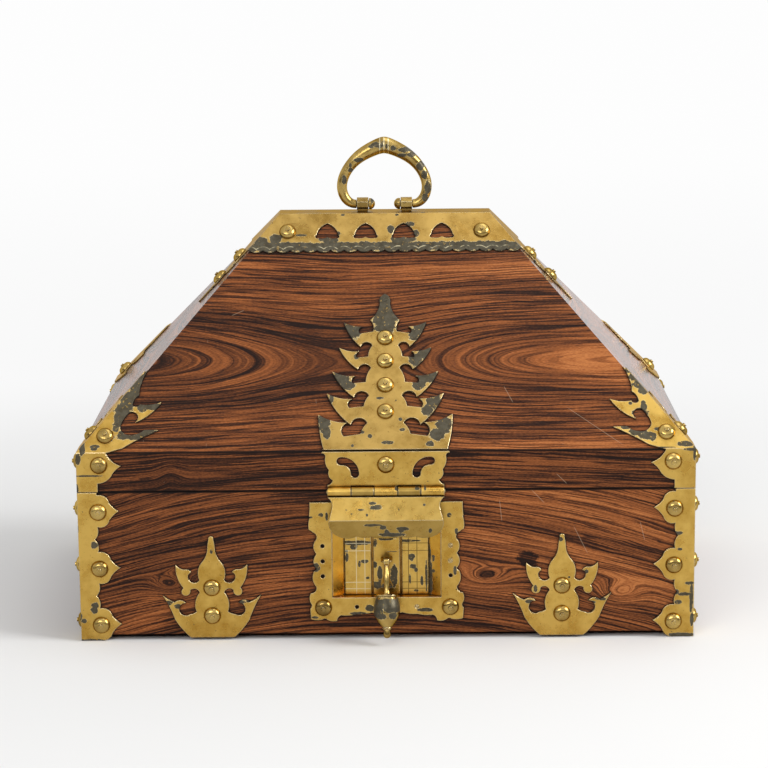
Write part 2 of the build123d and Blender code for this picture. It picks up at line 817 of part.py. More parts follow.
def drop_pull():
    """A turned drop on a slim neck, which ends in a flat eye round the staple's wire."""
    flat = staple_half - staple_wire - eye_gap
    with BuildSketch(Plane.XZ) as section:
        with BuildLine():
            Line((0, -1.9), (1.2, -1.9))
            Spline((1.2, -1.9), (1.3, -5.0), (2.0, -9.4), (1.5, -15.4), (2.0, -19.0))
            Line((2.0, -19.0), (6.2, -19.2))
            Line((6.2, -19.2), (7.0, -20.0))
            Line((7.0, -20.0), (6.0, -21.0))
            ThreePointArc((6.0, -21.0), (7.9, -28.6), (6.9, -32.2))
            Spline((6.9, -32.2), (6.1, -35.0), (4.2, -37.2), (2.5, -39.2))
            Line((2.5, -39.2), (3.0, -39.7))
            Line((3.0, -39.7), (2.0, -40.5))
            Line((2.0, -40.5), (pull_tip_radius, pull_tip_radius - 45.2))
            CenterArc((0, pull_tip_radius - 45.2), pull_tip_radius, start_angle=0, arc_size=-90)
            Line((0, -45.2), (0, -1.9))
        make_face()
    turned = revolve(section.sketch, axis=Axis.Z)
    eye = rod(-flat, flat, 0, 0, pull_eye_radius) - rod(-2 * flat, 2 * flat, 0, 0, staple_wire + eye_gap)
    out, level = pull_pivot
    return Pos(0, front_y(out), level) * Rot(-pull_lean, 0, 0) * (turned + eye)


# ================================================================ bail handle
def bail_axis():
    return ridge_top + sheet + bail_pivot_rise


# Middle line of the right half above the pivots (x, rise) and the bar's diameter there.
bail_sections = [
    (eye_outer + bail_section_gap, 0.0, 5.4),
    (21.6, 1.2, 5.6),
    (25.0, 5.6, 6.0),
    (25.9, 12.0, 6.2),
    (23.2, 20.0, 6.5),
    (17.4, 27.2, 7.4),
    (9.0, 32.8, 8.8),
    (0.0, 36.0, 10.2),
]


def bail_bow():
    """The bow from eye to eye: round, and thicker towards the middle."""
    stations = bail_sections + [(-x, rise, across) for x, rise, across in reversed(bail_sections[:-1])]
    places = [Vector(x, 0, bail_axis() + rise) for x, rise, _ in stations]
    headings = [after - before for before, after in zip(places, places[2:])]
    headings = [Vector(1, 0, 0), *headings, Vector(1, 0, 0)]
    rings = []
    for place, heading, (_, _, across) in zip(places, headings, stations):
        ring = Plane(origin=place, x_dir=(0, 1, 0), z_dir=heading) * Circle(across / 2)
        rings.append(ring.face())
    return loft(rings)


def bail_button():
    """The riveted button, a round cap on the inner side of one eye."""
    seat = eye_inner - bail_section_gap
    cap = seat - button_edge - button_reach
    ball = (button_radius**2 + cap**2) / (2 * cap)
    ball_place = Pos(button_reach + ball, 0, bail_axis())
    return rod(button_reach, seat, 0, bail_axis(), button_radius) & ball_place * Sphere(ball)


def make_bail():
    pivot = bail_axis()
    bail = bail_bow()
    for piece in (rod(button_reach + 2, bail_sections[0][0] + 1, 0, pivot, bail_pin_radius), bail_button()):
        bail += piece
        bail += Rot(0, 0, 180) * piece
    keep("bail_handle", bail)
    make_bail_posts()


def make_bail_posts():
    pivot = bail_axis()
    reach = (eye_inner + eye_outer) / 2
    width = eye_outer - eye_inner
    rail_foot = ridge_top - rail_height
    washers = []
    for name, sign in (("left", -1), ("right", 1)):
        x = sign * reach
        octagon = RegularPolygon(eye_across / 2, 8, major_radius=False, rotation=22.5)
        eye = Pos(x, 0, pivot) * Rot(0, 90, 0) * extrude(octagon, amount=width / 2, both=True)
        neck = block(
            x - neck_width / 2, x + neck_width / 2, -neck_depth / 2, neck_depth / 2, ridge_top + sheet, pivot
        )
        tang_foot = rail_foot - washer_thickness - tang_end
        tang = Pos(x, 0, (tang_foot + pivot) / 2) * Cylinder(tang_radius, pivot - tang_foot)
        hole = rod(x - width, x + width, 0, pivot, bail_pin_radius + pin_clearance)
        keep(f"bail_post_{name}", eye + neck + tang - hole)
        washer = Cylinder(washer_radius, washer_thickness)
        washer -= Cylinder(tang_radius + tang_clearance, 2 * washer_thickness)
        washers.append(Pos(x, 0, rail_foot - washer_thickness / 2) * washer)
    keep("bail_post_washers", *washers)


# ================================================================ rear hinges
def rear_axis():
    return half_depth + 0.4 + hinge_barrel_radius, axis_height


def hinge_leaf_outline(length):
    """A strap that ends in a pointed leaf; its root lies on y = 0 and it runs up to y = length."""
    half = [
        (0, 0),
        (hinge_half, 0),
        (hinge_half, 0.16 * length, 0.3),
        (hinge_half - 3.6, 0.26 * length, -0.12),
        (hinge_half - 3.6, 0.42 * length, 0.3),
        (hinge_half - 1.4, 0.52 * length, -0.18),
        (6.4, 0.78 * length, 0.12),
        (0, length),
    ]
    return both_halves(half)


def make_rear_hinges():
    y, z = rear_axis()
    root = hinge_barrel_radius + knuckle_gap
    wall = wall_frame("back")
    slope = slope_frame("back")
    trim = lid_form(-hinge_sheet, -hinge_sheet, -hinge_sheet)
    lid_rivets = []
    base_rivets = []
    for name, sign in (("left", -1), ("right", 1)):
        x = sign * hinge_spacing / 2
        local = -x
        fingers = {}
        for own, z0, z1 in ((True, z, z + root + 0.5), (False, z - root - 0.5, z)):
            solid = barrel_with_fingers(
                hinge_half,
                hinge_knuckles,
                own,
                (y, z),
                hinge_barrel_radius,
                hinge_pin_radius,
                (half_depth, half_depth + hinge_sheet, z0, z1),
            )
            fingers[own] = Pos(x, 0, 0) * solid
        over = rim_top + 4 * hinge_sheet
        rim = [(-hinge_half, z + root), (hinge_half, z + root), (hinge_half, over), (-hinge_half, over)]
        below = [(-hinge_half, -4), (hinge_half, -4), (hinge_half, 1), (-hinge_half, 1)]
        leaf = plate(wall, moved(rim, local, 0), hinge_sheet)
        leaf += plate(slope, moved(below, local, 0), hinge_sheet)
        leaf += plate(slope, moved(hinge_leaf_outline(hinge_rise), local, 0), hinge_sheet)
        keep(f"hinge_lid_leaf_{name}", (leaf & trim) + fingers[True])
        drop = [(px, z - root - py, -bend[0] if bend else 0) for px, py, *bend in hinge_leaf_outline(hinge_drop)]
        leaf = plate(wall, moved(drop, local, 0), hinge_sheet)
        keep(f"hinge_base_leaf_{name}", leaf + fingers[False])
        pin = rod(x - hinge_half - 0.8, x + hinge_half + 0.8, y, z, hinge_pin_radius)
        keep(f"hinge_pin_{name}", pin)
        lid_rivets += rivets_on(wall, [(local, rim_top - 9.0)], hinge_sheet)
        lid_rivets += rivets_on(slope, [(local, 0.32 * hinge_rise)], hinge_sheet)
        base_rivets += rivets_on(wall, [(local, z - 0.24 * hinge_drop), (local, z - 0.62 * hinge_drop)], hinge_sheet)
    keep("hinge_lid_rivets", *lid_rivets)
    keep("hinge_base_rivets", *base_rivets)


# ================================================================ lotus mounts
def lotus_outline():
    """A lotus flame: a spire over two pairs of curled leaves, on a boat-shaped foot."""
    half = [
        (0, 0),
        (12.8, 0, -0.04),
        (21.9, 11.0, 0.03),
        (28.9, 25.8, 0.05),
        (22.0, 21.4, -0.24),
        (15.4, 20.8, 0.2),
        (19.0, 19.0, 0.4),
        (13.4, 14.0, 0.06),
        (9.2, 15.6, -0.14),
        (7.2, 27.2, 0.3),
        (12.7, 28.8, -0.2),
        (14.6, 25.6, -0.45),
        (16.6, 30.0, -0.1),
        (20.9, 44.2, 0.12),
        (15.6, 41.2, -0.2),
        (12.0, 39.4, 0.2),
        (13.9, 36.6, 0.36),
        (7.2, 34.8, -0.14),
        (5.6, 45.6, 0.08),
        (2.2, 53.4, -0.03),
        (1.3, 59.6, -0.3),
        (0, 61.2),
    ]
    return both_halves(half)


def make_lotus_mounts():
    frame = wall_frame("front")
    solids = []
    for name, sign in (("left", -1), ("right", 1)):
        x = sign * lotus_offset
        keep(f"lotus_mount_{name}", plate(frame, moved(lotus_outline(), x, lotus_bottom), sheet))
        solids += rivets_on(frame, [(x, lotus_bottom + 13.3), (x, lotus_bottom + 30.2)], sheet)
    keep("lotus_rivets", *solids)


# ================================================================ build and write
make_base_boards()
make_lid_boards()
make_corner_mounts()
base_corner = [solid for side in SIDES for solid in corner_rivets(side, True)]
lid_corner = [solid for side in SIDES for solid in corner_rivets(side, False)]
keep("base_corner_rivets", *base_corner)
keep("lid_corner_rivets", *lid_corner)
make_ridge_cap()
make_crest_and_rim_plate()
make_hasp()
make_lock()
make_bail()
make_rear_hinges()
make_lotus_mounts()

os.makedirs("parts", exist_ok=True)
for node, shape in parts.items():
    export_step(shape, f"parts/{node}.step")
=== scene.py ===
"""Looks of a brass-mounted rosewood jewel chest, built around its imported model.

The frame is in metres, and the values here are in millimetres: +X right, +Y to the back, +Z up.
"""

import math

import bmesh
import bpy
from mathutils import Matrix, Vector


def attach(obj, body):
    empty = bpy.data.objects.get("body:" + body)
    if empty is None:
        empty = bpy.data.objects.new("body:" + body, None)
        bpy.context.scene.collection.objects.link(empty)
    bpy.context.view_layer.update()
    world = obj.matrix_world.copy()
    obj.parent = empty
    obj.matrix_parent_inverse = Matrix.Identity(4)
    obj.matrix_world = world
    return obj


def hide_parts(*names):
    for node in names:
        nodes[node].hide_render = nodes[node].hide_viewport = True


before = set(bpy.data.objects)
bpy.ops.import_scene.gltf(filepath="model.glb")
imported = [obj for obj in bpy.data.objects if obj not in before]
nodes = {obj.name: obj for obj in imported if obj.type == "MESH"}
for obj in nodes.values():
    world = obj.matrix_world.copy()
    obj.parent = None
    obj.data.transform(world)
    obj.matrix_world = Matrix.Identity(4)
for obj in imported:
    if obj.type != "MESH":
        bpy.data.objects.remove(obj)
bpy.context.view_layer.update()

MM = 0.001

# ---------------------------------------------------------------- sizes that the looks follow
HALF_WIDTH = 179.0
HALF_DEPTH = 115.0
RIM_TOP = 113.0
RIDGE_TOP = 237.0
RIDGE_HALF_LENGTH = 64.0
RIDGE_HALF_DEPTH = 9.0

RISE = RIDGE_TOP - RIM_TOP
FRONT_RUN = HALF_DEPTH - RIDGE_HALF_DEPTH
SIDE_RUN = HALF_WIDTH - RIDGE_HALF_LENGTH


def linear(level):
    """The strength of light that a 0 to 255 screen value stands for."""
    return ((level / 255 + 0.055) / 1.055) ** 2.4 if level > 10 else level / 3294.6


def srgb(red, green, blue):
    """A colour from its 0 to 255 screen values."""
    return (linear(red), linear(green), linear(blue), 1)


# ================================================================ faces that patterns are laid on
class Face:
    """A flat side of the chest: along and across are unit vectors, and origin is where both read 0."""

    def __init__(self, along, across, origin=(0, 0, 0)):
        self.along = Vector(along)
        self.across = Vector(across).normalized()
        self.out = self.along.cross(self.across)
        self.origin = Vector(origin)


FACES = {
    "front_wall": Face((1, 0, 0), (0, 0, 1)),
    "back_wall": Face((-1, 0, 0), (0, 0, 1)),
    "left_wall": Face((0, -1, 0), (0, 0, 1)),
    "right_wall": Face((0, 1, 0), (0, 0, 1)),
    "front_slope": Face((1, 0, 0), (0, FRONT_RUN, RISE), (0, -HALF_DEPTH, RIM_TOP)),
    "back_slope": Face((-1, 0, 0), (0, -FRONT_RUN, RISE), (0, HALF_DEPTH, RIM_TOP)),
    "left_slope": Face((0, -1, 0), (SIDE_RUN, 0, RISE), (-HALF_WIDTH, 0, RIM_TOP)),
    "right_slope": Face((0, 1, 0), (-SIDE_RUN, 0, RISE), (HALF_WIDTH, 0, RIM_TOP)),
    "ground": Face((1, 0, 0), (0, 1, 0)),
}


# ================================================================ node graphs
class Shader:
    """A node graph in the making: each method adds a node and returns its output."""

    def __init__(self, owner):
        """owner is the material or world that the graph belongs to."""
        owner.use_nodes = True
        self.owner = owner
        self.tree = owner.node_tree
        self.tree.nodes.clear()

    def node(self, kind, inputs, **settings):
        made = self.tree.nodes.new("ShaderNode" + kind)
        for key, value in settings.items():
            setattr(made, key, value)
        for key, value in inputs.items():
            if isinstance(value, bpy.types.NodeSocket):
                self.tree.links.new(value, made.inputs[key])
            else:
                made.inputs[key].default_value = value
        return made

    def math(self, operation, a, b=0.0, c=0.0, clamp=False):
        return self.node("Math", {0: a, 1: b, 2: c}, operation=operation, use_clamp=clamp).outputs[0]

    def add(self, *terms):
        total = terms[0]
        for term in terms[1:]:
            total = self.math("ADD", total, term)
        return total

    def times(self, a, b):
        return self.math("MULTIPLY", a, b)

    def dot(self, a, b):
        return self.node("VectorMath", {0: a, 1: b}, operation="DOT_PRODUCT").outputs[1]

    def length(self, a):
        return self.node("VectorMath", {0: a}, operation="LENGTH").outputs[1]

    def vector(self, x, y, z=0.0):
        return self.node("CombineXYZ", {0: x, 1: y, 2: z}).outputs[0]

    def place(self):
        """Where the shaded point is, in millimetres, wherever the piece has moved to."""
        raw = self.node("TexCoord", {}).outputs["Object"]
        return self.node("VectorMath", {0: raw, 3: 1 / MM}, operation="SCALE").outputs[0]

    def on_face(self, face):
        """The point as (along, across, depth) of a face, each in millimetres."""
        inputs = {0: self.place(), 1: face.origin}
        offset = self.node("VectorMath", inputs, operation="SUBTRACT").outputs[0]
        return [self.dot(offset, axis) for axis in (face.along, face.across, face.out)]

    def noise(self, where, size=1.0, detail=2.0, roughness=0.5, distortion=0.0):
        """0 to 1, with features about size across, in the units of where."""
        inputs = {"Vector": where, "Scale": 1 / size, "Detail": detail, "Roughness": roughness}
        return self.node("TexNoise", {**inputs, "Distortion": distortion}).outputs[0]

    def ease(self, value, low, high, to_low=0.0, to_high=1.0):
        """Goes smoothly from to_low, where value is low, to to_high, where it is high."""
        inputs = {"Value": value, "From Min": low, "From Max": high}
        inputs.update({"To Min": to_low, "To Max": to_high})
        return self.node("MapRange", inputs, interpolation_type="SMOOTHSTEP").outputs[0]

    def ramp(self, value, stops):
        made = self.node("ValToRGB", {0: value})
        points = made.color_ramp.elements
        for _ in stops[2:]:
            points.new(0.5)
        for point, (position, colour) in zip(points, stops):
            point.position = position
            point.color = colour
        return made.outputs[0]

    def mix(self, share, a, b):
        return self.node("Mix", {0: share, 6: a, 7: b}, data_type="RGBA").outputs[2]

    def blend(self, share, a, b):
        return self.node("Mix", {0: share, 2: a, 3: b}, data_type="FLOAT").outputs[0]

    def bump(self, height, depth, under=None):
        """Relief of depth millimetres over the heights 0 to 1."""
        inputs = {"Height": height, "Distance": depth * MM, "Strength": 1.0}
        if under is not None:
            inputs["Normal"] = under
        return self.node("Bump", inputs).outputs[0]

    def spots(self, u, v, ellipses, lowest=-1.0):
        """1 in the middle of each ellipse, 0 on its edge, and down to lowest outside.

        An ellipse is its middle (u, v), half its width and half its height.
        """
        where = self.vector(u, v)
        far = 1.0 - lowest
        for middle_u, middle_v, half_u, half_v in ellipses:
            scale = (1 / half_u, 1 / half_v, 0)
            shift = (-middle_u / half_u, -middle_v / half_v, 0)
            inputs = {0: where, 1: scale, 2: shift}
            scaled = self.node("VectorMath", inputs, operation="MULTIPLY_ADD").outputs[0]
            far = self.math("MINIMUM", far, self.length(scaled))
        return self.math("SUBTRACT", 1.0, far)

    def strokes(self, u, v, segments, half_width):
        """1 on straight strokes, each from one (u, v) to another, and 0 beside them."""
        drawn = 0.0
        for from_u, from_v, to_u, to_v in segments:
            reach = math.hypot(to_u - from_u, to_v - from_v)
            way = Vector(((to_u - from_u) / reach, (to_v - from_v) / reach, 0))
            middle = (-(from_u + to_u) / 2, -(from_v + to_v) / 2, 0)
            inputs = {0: self.vector(u, v), 1: middle}
            offset = self.node("VectorMath", inputs, operation="ADD").outputs[0]
            beside = self.math("ABSOLUTE", self.dot(offset, (-way.y, way.x, 0)))
            beyond = self.math("ABSOLUTE", self.dot(offset, way))
            across = self.ease(beside, half_width, 0.3 * half_width)
            within = self.ease(beyond, reach / 2, 0.35 * reach)
            drawn = self.math("MAXIMUM", drawn, self.times(across, within))
        return drawn

    def show(self, surface, output="OutputMaterial"):
        """Ends the graph with what its owner shows."""
        self.tree.links.new(surface, self.node(output, {}).inputs["Surface"])
        return self.owner

    def principled(self, **inputs):
        """Ends the graph with one surface, whose sockets are named with underscores for spaces."""
        sockets = {key.replace("_", " "): value for key, value in inputs.items()}
        return self.show(self.node("BsdfPrincipled", sockets).outputs[0])


def new_material(name):
    return Shader(bpy.data.materials.new(name))


def dress(names, material):
    """Gives a material to whole nodes of the frame."""
    for name in names:
        for slot in nodes[name].material_slots:
            slot.material = material


# ================================================================ rosewood
WOOD_TONES = [
    (0.00, srgb(30, 17, 12)),
    (0.22, srgb(62, 34, 20)),
    (0.50, srgb(108, 61, 32)),
    (0.76, srgb(148, 86, 45)),
    (1.00, srgb(182, 114, 64)),
]
SHADED_WOOD = srgb(17, 11, 9)
# Painted shadow at the foot of the walls, and the colour of darkened seams.
EDGE_SHADOW_AND_SEAM = srgb(12, 9, 8)
SCRATCHED_WOOD = srgb(196, 170, 142)


def rosewood(
    name, face, seed, pith=(-70.0, 30.0), waist=(0.0, 0.0, 100.0), bow=(0.0, 0.0), knots=(),
    nests=(), stains=(), scratches=(), tone=0.0, painted_light_drift=0.0008, shadow_and_seam_edges=(), varnish=0.8,
):
    """Flat-sawn rosewood, whose rings lie round a pith line that runs along the board behind its face.

    pith is its place across the face and its depth. waist is how much deeper it lies at one place
    along the board, that place, and over what length: the rings nest to both sides of it. bow is the
    middle of the lines' arc, and how far they drop 150 mm from there. knots are ellipses with the
    lift of the rings in their middle. nests are the radii of the darkest rings. stains are ellipses,
    and scratches are strokes. tone lightens the whole, and painted_light_drift is painted light: how
    much lighter it gets with each millimetre along. shadow_and_seam_edges lists edges, each from the
    place across the face where it is untouched to where it is black: painted shadow at the foot of
    the walls, and darkened seams. varnish is how much of it is left.
    """
    s = new_material(name)
    u, v, w = s.on_face(face)
    pith_across, pith_depth = pith
    waist_depth, waist_along, waist_length = waist
    bow_middle, bow_drop = bow

    # How far the point is from the pith line, which wanders a little.
    slow = s.noise(s.vector(s.times(u, 0.3), v, seed * 37.0), 42, 2, 0.5)
    wave = s.noise(s.vector(s.times(u, 0.07), s.times(v, 0.5), seed * 51.0), 2.0, 3, 0.55)
    arc = s.math("MULTIPLY_ADD", u, 1 / 150.0, -bow_middle / 150.0)
    height = s.add(v, -pith_across, s.times(s.add(slow, -0.5), 9.0), s.times(s.add(wave, -0.5), 1.7))
    height = s.add(height, s.times(s.times(arc, arc), bow_drop))
    apart = s.math("MULTIPLY_ADD", u, 1 / waist_length, -waist_along / waist_length)
    deeper = s.math("EXPONENT", s.times(s.times(apart, apart), -1.0))
    behind = s.add(s.math("MULTIPLY_ADD", deeper, waist_depth, pith_depth), s.times(w, -1.0))
    rings = s.length(s.vector(height, behind))
    for knot_u, knot_v, half_u, half_v, lift in knots:
        du = s.math("MULTIPLY_ADD", u, 1 / half_u, -knot_u / half_u)
        dv = s.math("MULTIPLY_ADD", v, 1 / half_v, -knot_v / half_v)
        far = s.add(s.times(du, du), s.times(dv, dv))
        rings = s.add(rings, s.times(s.math("EXPONENT", s.times(far, -1.0)), lift))

    def lines(pitch, run, number, detail=2.0, roughness=0.5):
        """0 to 1 across the rings, pitch apart, and as long as run."""
        where = s.vector(s.times(rings, 1 / pitch), s.times(u, 1 / run), seed * 13.7 + number * 5.3)
        return s.ease(s.noise(where, 1.0, detail, roughness), 0.34, 0.66)

    bands = lines(pitch=15.0, run=400.0, number=0, detail=1.0)
    growth = lines(pitch=2.7, run=170.0, number=1, detail=3.0, roughness=0.6)
    fine = lines(pitch=1.0, run=70.0, number=2, detail=2.0)
    vein = s.math("ABSOLUTE", s.add(lines(pitch=2.1, run=140.0, number=3, detail=1.0), -0.5))
    hair = lines(pitch=0.45, run=26.0, number=4, detail=1.0)
    tones = s.add(0.25 + tone, s.times(bands, 0.22), s.times(growth, 0.26), s.times(hair, 0.20))
    # Painted light: the wood grows lighter with each millimetre along the face.
    tones = s.add(tones, s.times(u, painted_light_drift))
    dark = s.add(s.times(s.ease(fine, 0.50, 0.80), 0.40), s.times(s.ease(vein, 0.11, 0.03), 0.30))
    steep = s.ease(s.math("ABSOLUTE", height), 3.0, 24.0, -0.40, -1.0)
    tones = s.add(tones, s.times(dark, steep), s.ease(rings, 26.0, 6.0, 0.0, 0.12))
    for radius in nests:
        off = s.math("ABSOLUTE", s.add(rings, -radius))
        tones = s.add(tones, s.times(s.ease(off, 0.60, 0.12), -0.12))

    # Pores, fibre and stains run along the board, whatever the rings do.
    pores = s.noise(s.vector(s.times(u, 0.16), s.times(v, 2.6), seed * 7.0), 1.0, 2, 0.6)
    pore = s.ease(pores, 0.56, 0.68)
    fibre = s.noise(s.vector(s.times(u, 0.55), s.times(v, 2.9), seed * 5.0), 1.0, 1, 0.5)
    tones = s.add(tones, s.times(pore, -0.20), s.ease(fibre, 0.3, 0.7, -0.10, 0.10))
    if stains:
        ragged = s.times(s.add(s.noise(s.vector(u, v), 5, 4, 0.6), -0.5), 2.0)
        stain = s.ease(s.add(s.spots(u, v, stains), ragged), -0.15, 0.25)
        tones = s.add(tones, s.times(stain, -0.6))
    colour = s.ramp(tones, WOOD_TONES)

    # Painted shade in the corners and beside the brass, scuffs, dust, scratches, and black edges on the
    # outside: painted shadow at the foot of the walls, and darkened seams.
    open_air = s.node("AmbientOcclusion", {"Distance": 3.4 * MM}, samples=6).outputs["AO"]
    colour = s.mix(s.ease(open_air, 0.88, 0.56, 0.0, 0.92), colour, SHADED_WOOD)
    scratch = s.noise(s.vector(s.times(u, 0.5), s.times(v, 0.06), seed * 3.0), 1.0, 3, 0.55, 0.5)
    patches = s.ease(s.noise(s.vector(u, v, seed), 22), 0.54, 0.62)
    scuffs = s.times(s.ease(scratch, 0.745, 0.76), patches)
    dust = s.ease(s.noise(s.vector(u, v, seed * 9.0), 1.1, 1), 0.835, 0.85)
    marks = s.math("MAXIMUM", s.times(scuffs, 0.40), s.times(dust, 0.55))
    if scratches:
        marks = s.math("MAXIMUM", marks, s.times(s.strokes(u, v, scratches, 0.26), 0.34))
    colour = s.mix(marks, colour, SCRATCHED_WOOD)
    outside = s.ease(s.dot(s.node("TexCoord", {}).outputs["Normal"], face.out), 0.5, 0.8)
    # Painted shadow along the foot of the walls, and darkened seams, on outward faces only.
    for clean, black in shadow_and_seam_edges:
        colour = s.mix(s.times(s.ease(v, clean, black, 0.0, 0.92), outside), colour, EDGE_SHADOW_AND_SEAM)

    ripple = s.noise(s.vector(s.times(u, 0.05), s.times(v, 0.3)), 1)
    uneven = s.add(s.times(growth, 0.2), s.times(pore, -0.7), ripple)
    normal = s.bump(uneven, 0.03)
    polish = s.bump(s.add(uneven, s.noise(s.vector(u, v, seed), 30, 1)), 0.045)
    return s.principled(
        Base_Color=colour, Roughness=0.5, Normal=normal, Specular_IOR_Level=0.05,
        Coat_Weight=varnish, Coat_IOR=1.17, Coat_Roughness=0.13, Coat_Normal=polish,
    )


# The lowest wall edge is painted shadow of the dark gap under the wood; the others darken the seams
# between lid and base, and between rim and slope.
WALL_EDGES = [(4.2, 3.0), (88.5, 89.1)]
RIM_EDGES = [(90.8, 90.2), (111.9, 112.6)]
SLOPE_EDGE = (1.1, 0.4)

# The nests of arcs on the lid open to both sides of a waist, and those on the wall close round eyes.
lid_front = rosewood(
    "rosewood_lid_front", FACES["front_slope"], 1, pith=(61.5, 4.5), waist=(23.0, -21.0, 84.0),
    nests=(19.8, 16.0, 13.2, 11.4, 8.6), shadow_and_seam_edges=[SLOPE_EDGE],
    scratches=[(69.5, 43.0, 75.0, 31.0), (105.0, 29.0, 139.0, 2.0), (-92.0, 92.0, -84.0, 96.0)],
)
wall_front = rosewood(
    "rosewood_wall_front", FACES["front_wall"], 2, pith=(-90.0, 10.0), bow=(-10.0, 22.0),
    knots=[(57.5, 36.5, 15.0, 6.0, 9.5), (-125.9, 33.1, 12.0, 6.0, 9.0), (136.1, 26.2, 12.0, 6.5, 9.0)],
    stains=[(82.7, 47.2, 5.8, 5.2)], tone=0.04, painted_light_drift=0.0003, shadow_and_seam_edges=WALL_EDGES,
    scratches=[
        (84.0, 90.0, 92.5, 81.0), (66.0, 84.0, 67.5, 70.0), (148.0, 70.0, 151.0, 58.0),
        (109.0, 68.0, 118.0, 50.0),
    ],
)
rim_front = rosewood(
    "rosewood_rim_front", FACES["front_wall"], 3, bow=(0.0, 4.0), tone=-0.12, shadow_and_seam_edges=RIM_EDGES,
    knots=[(-125.5, 99.0, 7.0, 9.0, -3.2)], scratches=[(99.0, 99.0, 105.5, 92.5)],
)
dress(["lid_slope_front"], lid_front)
dress(["base_front_board"], wall_front)
dress(["lid_rim_front"], rim_front)
for number, side in enumerate(("back", "left", "right")):
    wall, slope = FACES[side + "_wall"], FACES[side + "_slope"]
    wall_wood = rosewood(
        "rosewood_wall_" + side, wall, 4 + number, pith=(-80.0, 10.0), bow=(20.0, -14.0),
        knots=[(-60.0 + 40.0 * number, 40.0, 15.0, 6.0, 9.0)], shadow_and_seam_edges=WALL_EDGES,
    )
    rim_wood = rosewood("rosewood_rim_" + side, wall, 7 + number, shadow_and_seam_edges=RIM_EDGES)
    slope_wood = rosewood(
        "rosewood_slope_" + side, slope, 10 + number, pith=(62.0, 4.0), waist=(22.0, 10.0, 74.0),
        nests=(19.0, 15.0, 11.0), shadow_and_seam_edges=[SLOPE_EDGE], varnish=0.55 if side == "left" else 0.8,
    )
    dress([f"base_{side}_board"], wall_wood)
    dress([f"lid_rim_{side}"], rim_wood)
    dress([f"lid_slope_{side}"], slope_wood)
dress(["base_bottom_board"], rosewood("rosewood_floor", FACES["ground"], 13, tone=-0.06))
dress(["lid_ridge_rail"], rosewood("rosewood_rail", FACES["ground"], 14, tone=-0.1))


# ================================================================ brass
GOLD = (srgb(172, 132, 54), srgb(206, 169, 87))
# Painted shade: darker tones of the same brass for the mounts on the lid's slopes, which the lamps light
# more strongly.
SHADED_SLOPE_GOLD = (srgb(148, 115, 54), srgb(184, 151, 84))
WARM = (srgb(160, 112, 48), srgb(196, 148, 74))
# Painted reflection: a saturated orange standing for the recess's brass walls lighting each other.
REFLECTED_ORANGE = (srgb(172, 120, 36), srgb(210, 162, 66))
CAST = (srgb(126, 100, 52), srgb(186, 158, 92))
# Painted shade: the hood's brass is darker all over, standing in for the dimmer light under its fold.
SHADED_HOOD_GOLD = (srgb(140, 111, 50), srgb(171, 142, 76))
# Painted highlight: pale lines where the cap's scalloped edge, the left shutter's engraving and the bail's
# turned rings catch the light.
HIGHLIGHT_LINE = srgb(222, 210, 172)
DARK_LINE = srgb(52, 40, 26)
BROWN_SPOT = srgb(104, 74, 36)
# Pale edges: rubbed metal with a painted highlight.
EDGE_WEAR_AND_HIGHLIGHT = srgb(214, 200, 164)
# Grime with painted shade, in corners and hollows.
GRIME_AND_SHADE = srgb(38, 28, 17)
BARE_RIM = srgb(220, 202, 154)
PATINA = [(0.35, srgb(52, 51, 46)), (0.65, srgb(76, 75, 67))]
BRASS_SHEEN = srgb(214, 190, 140)


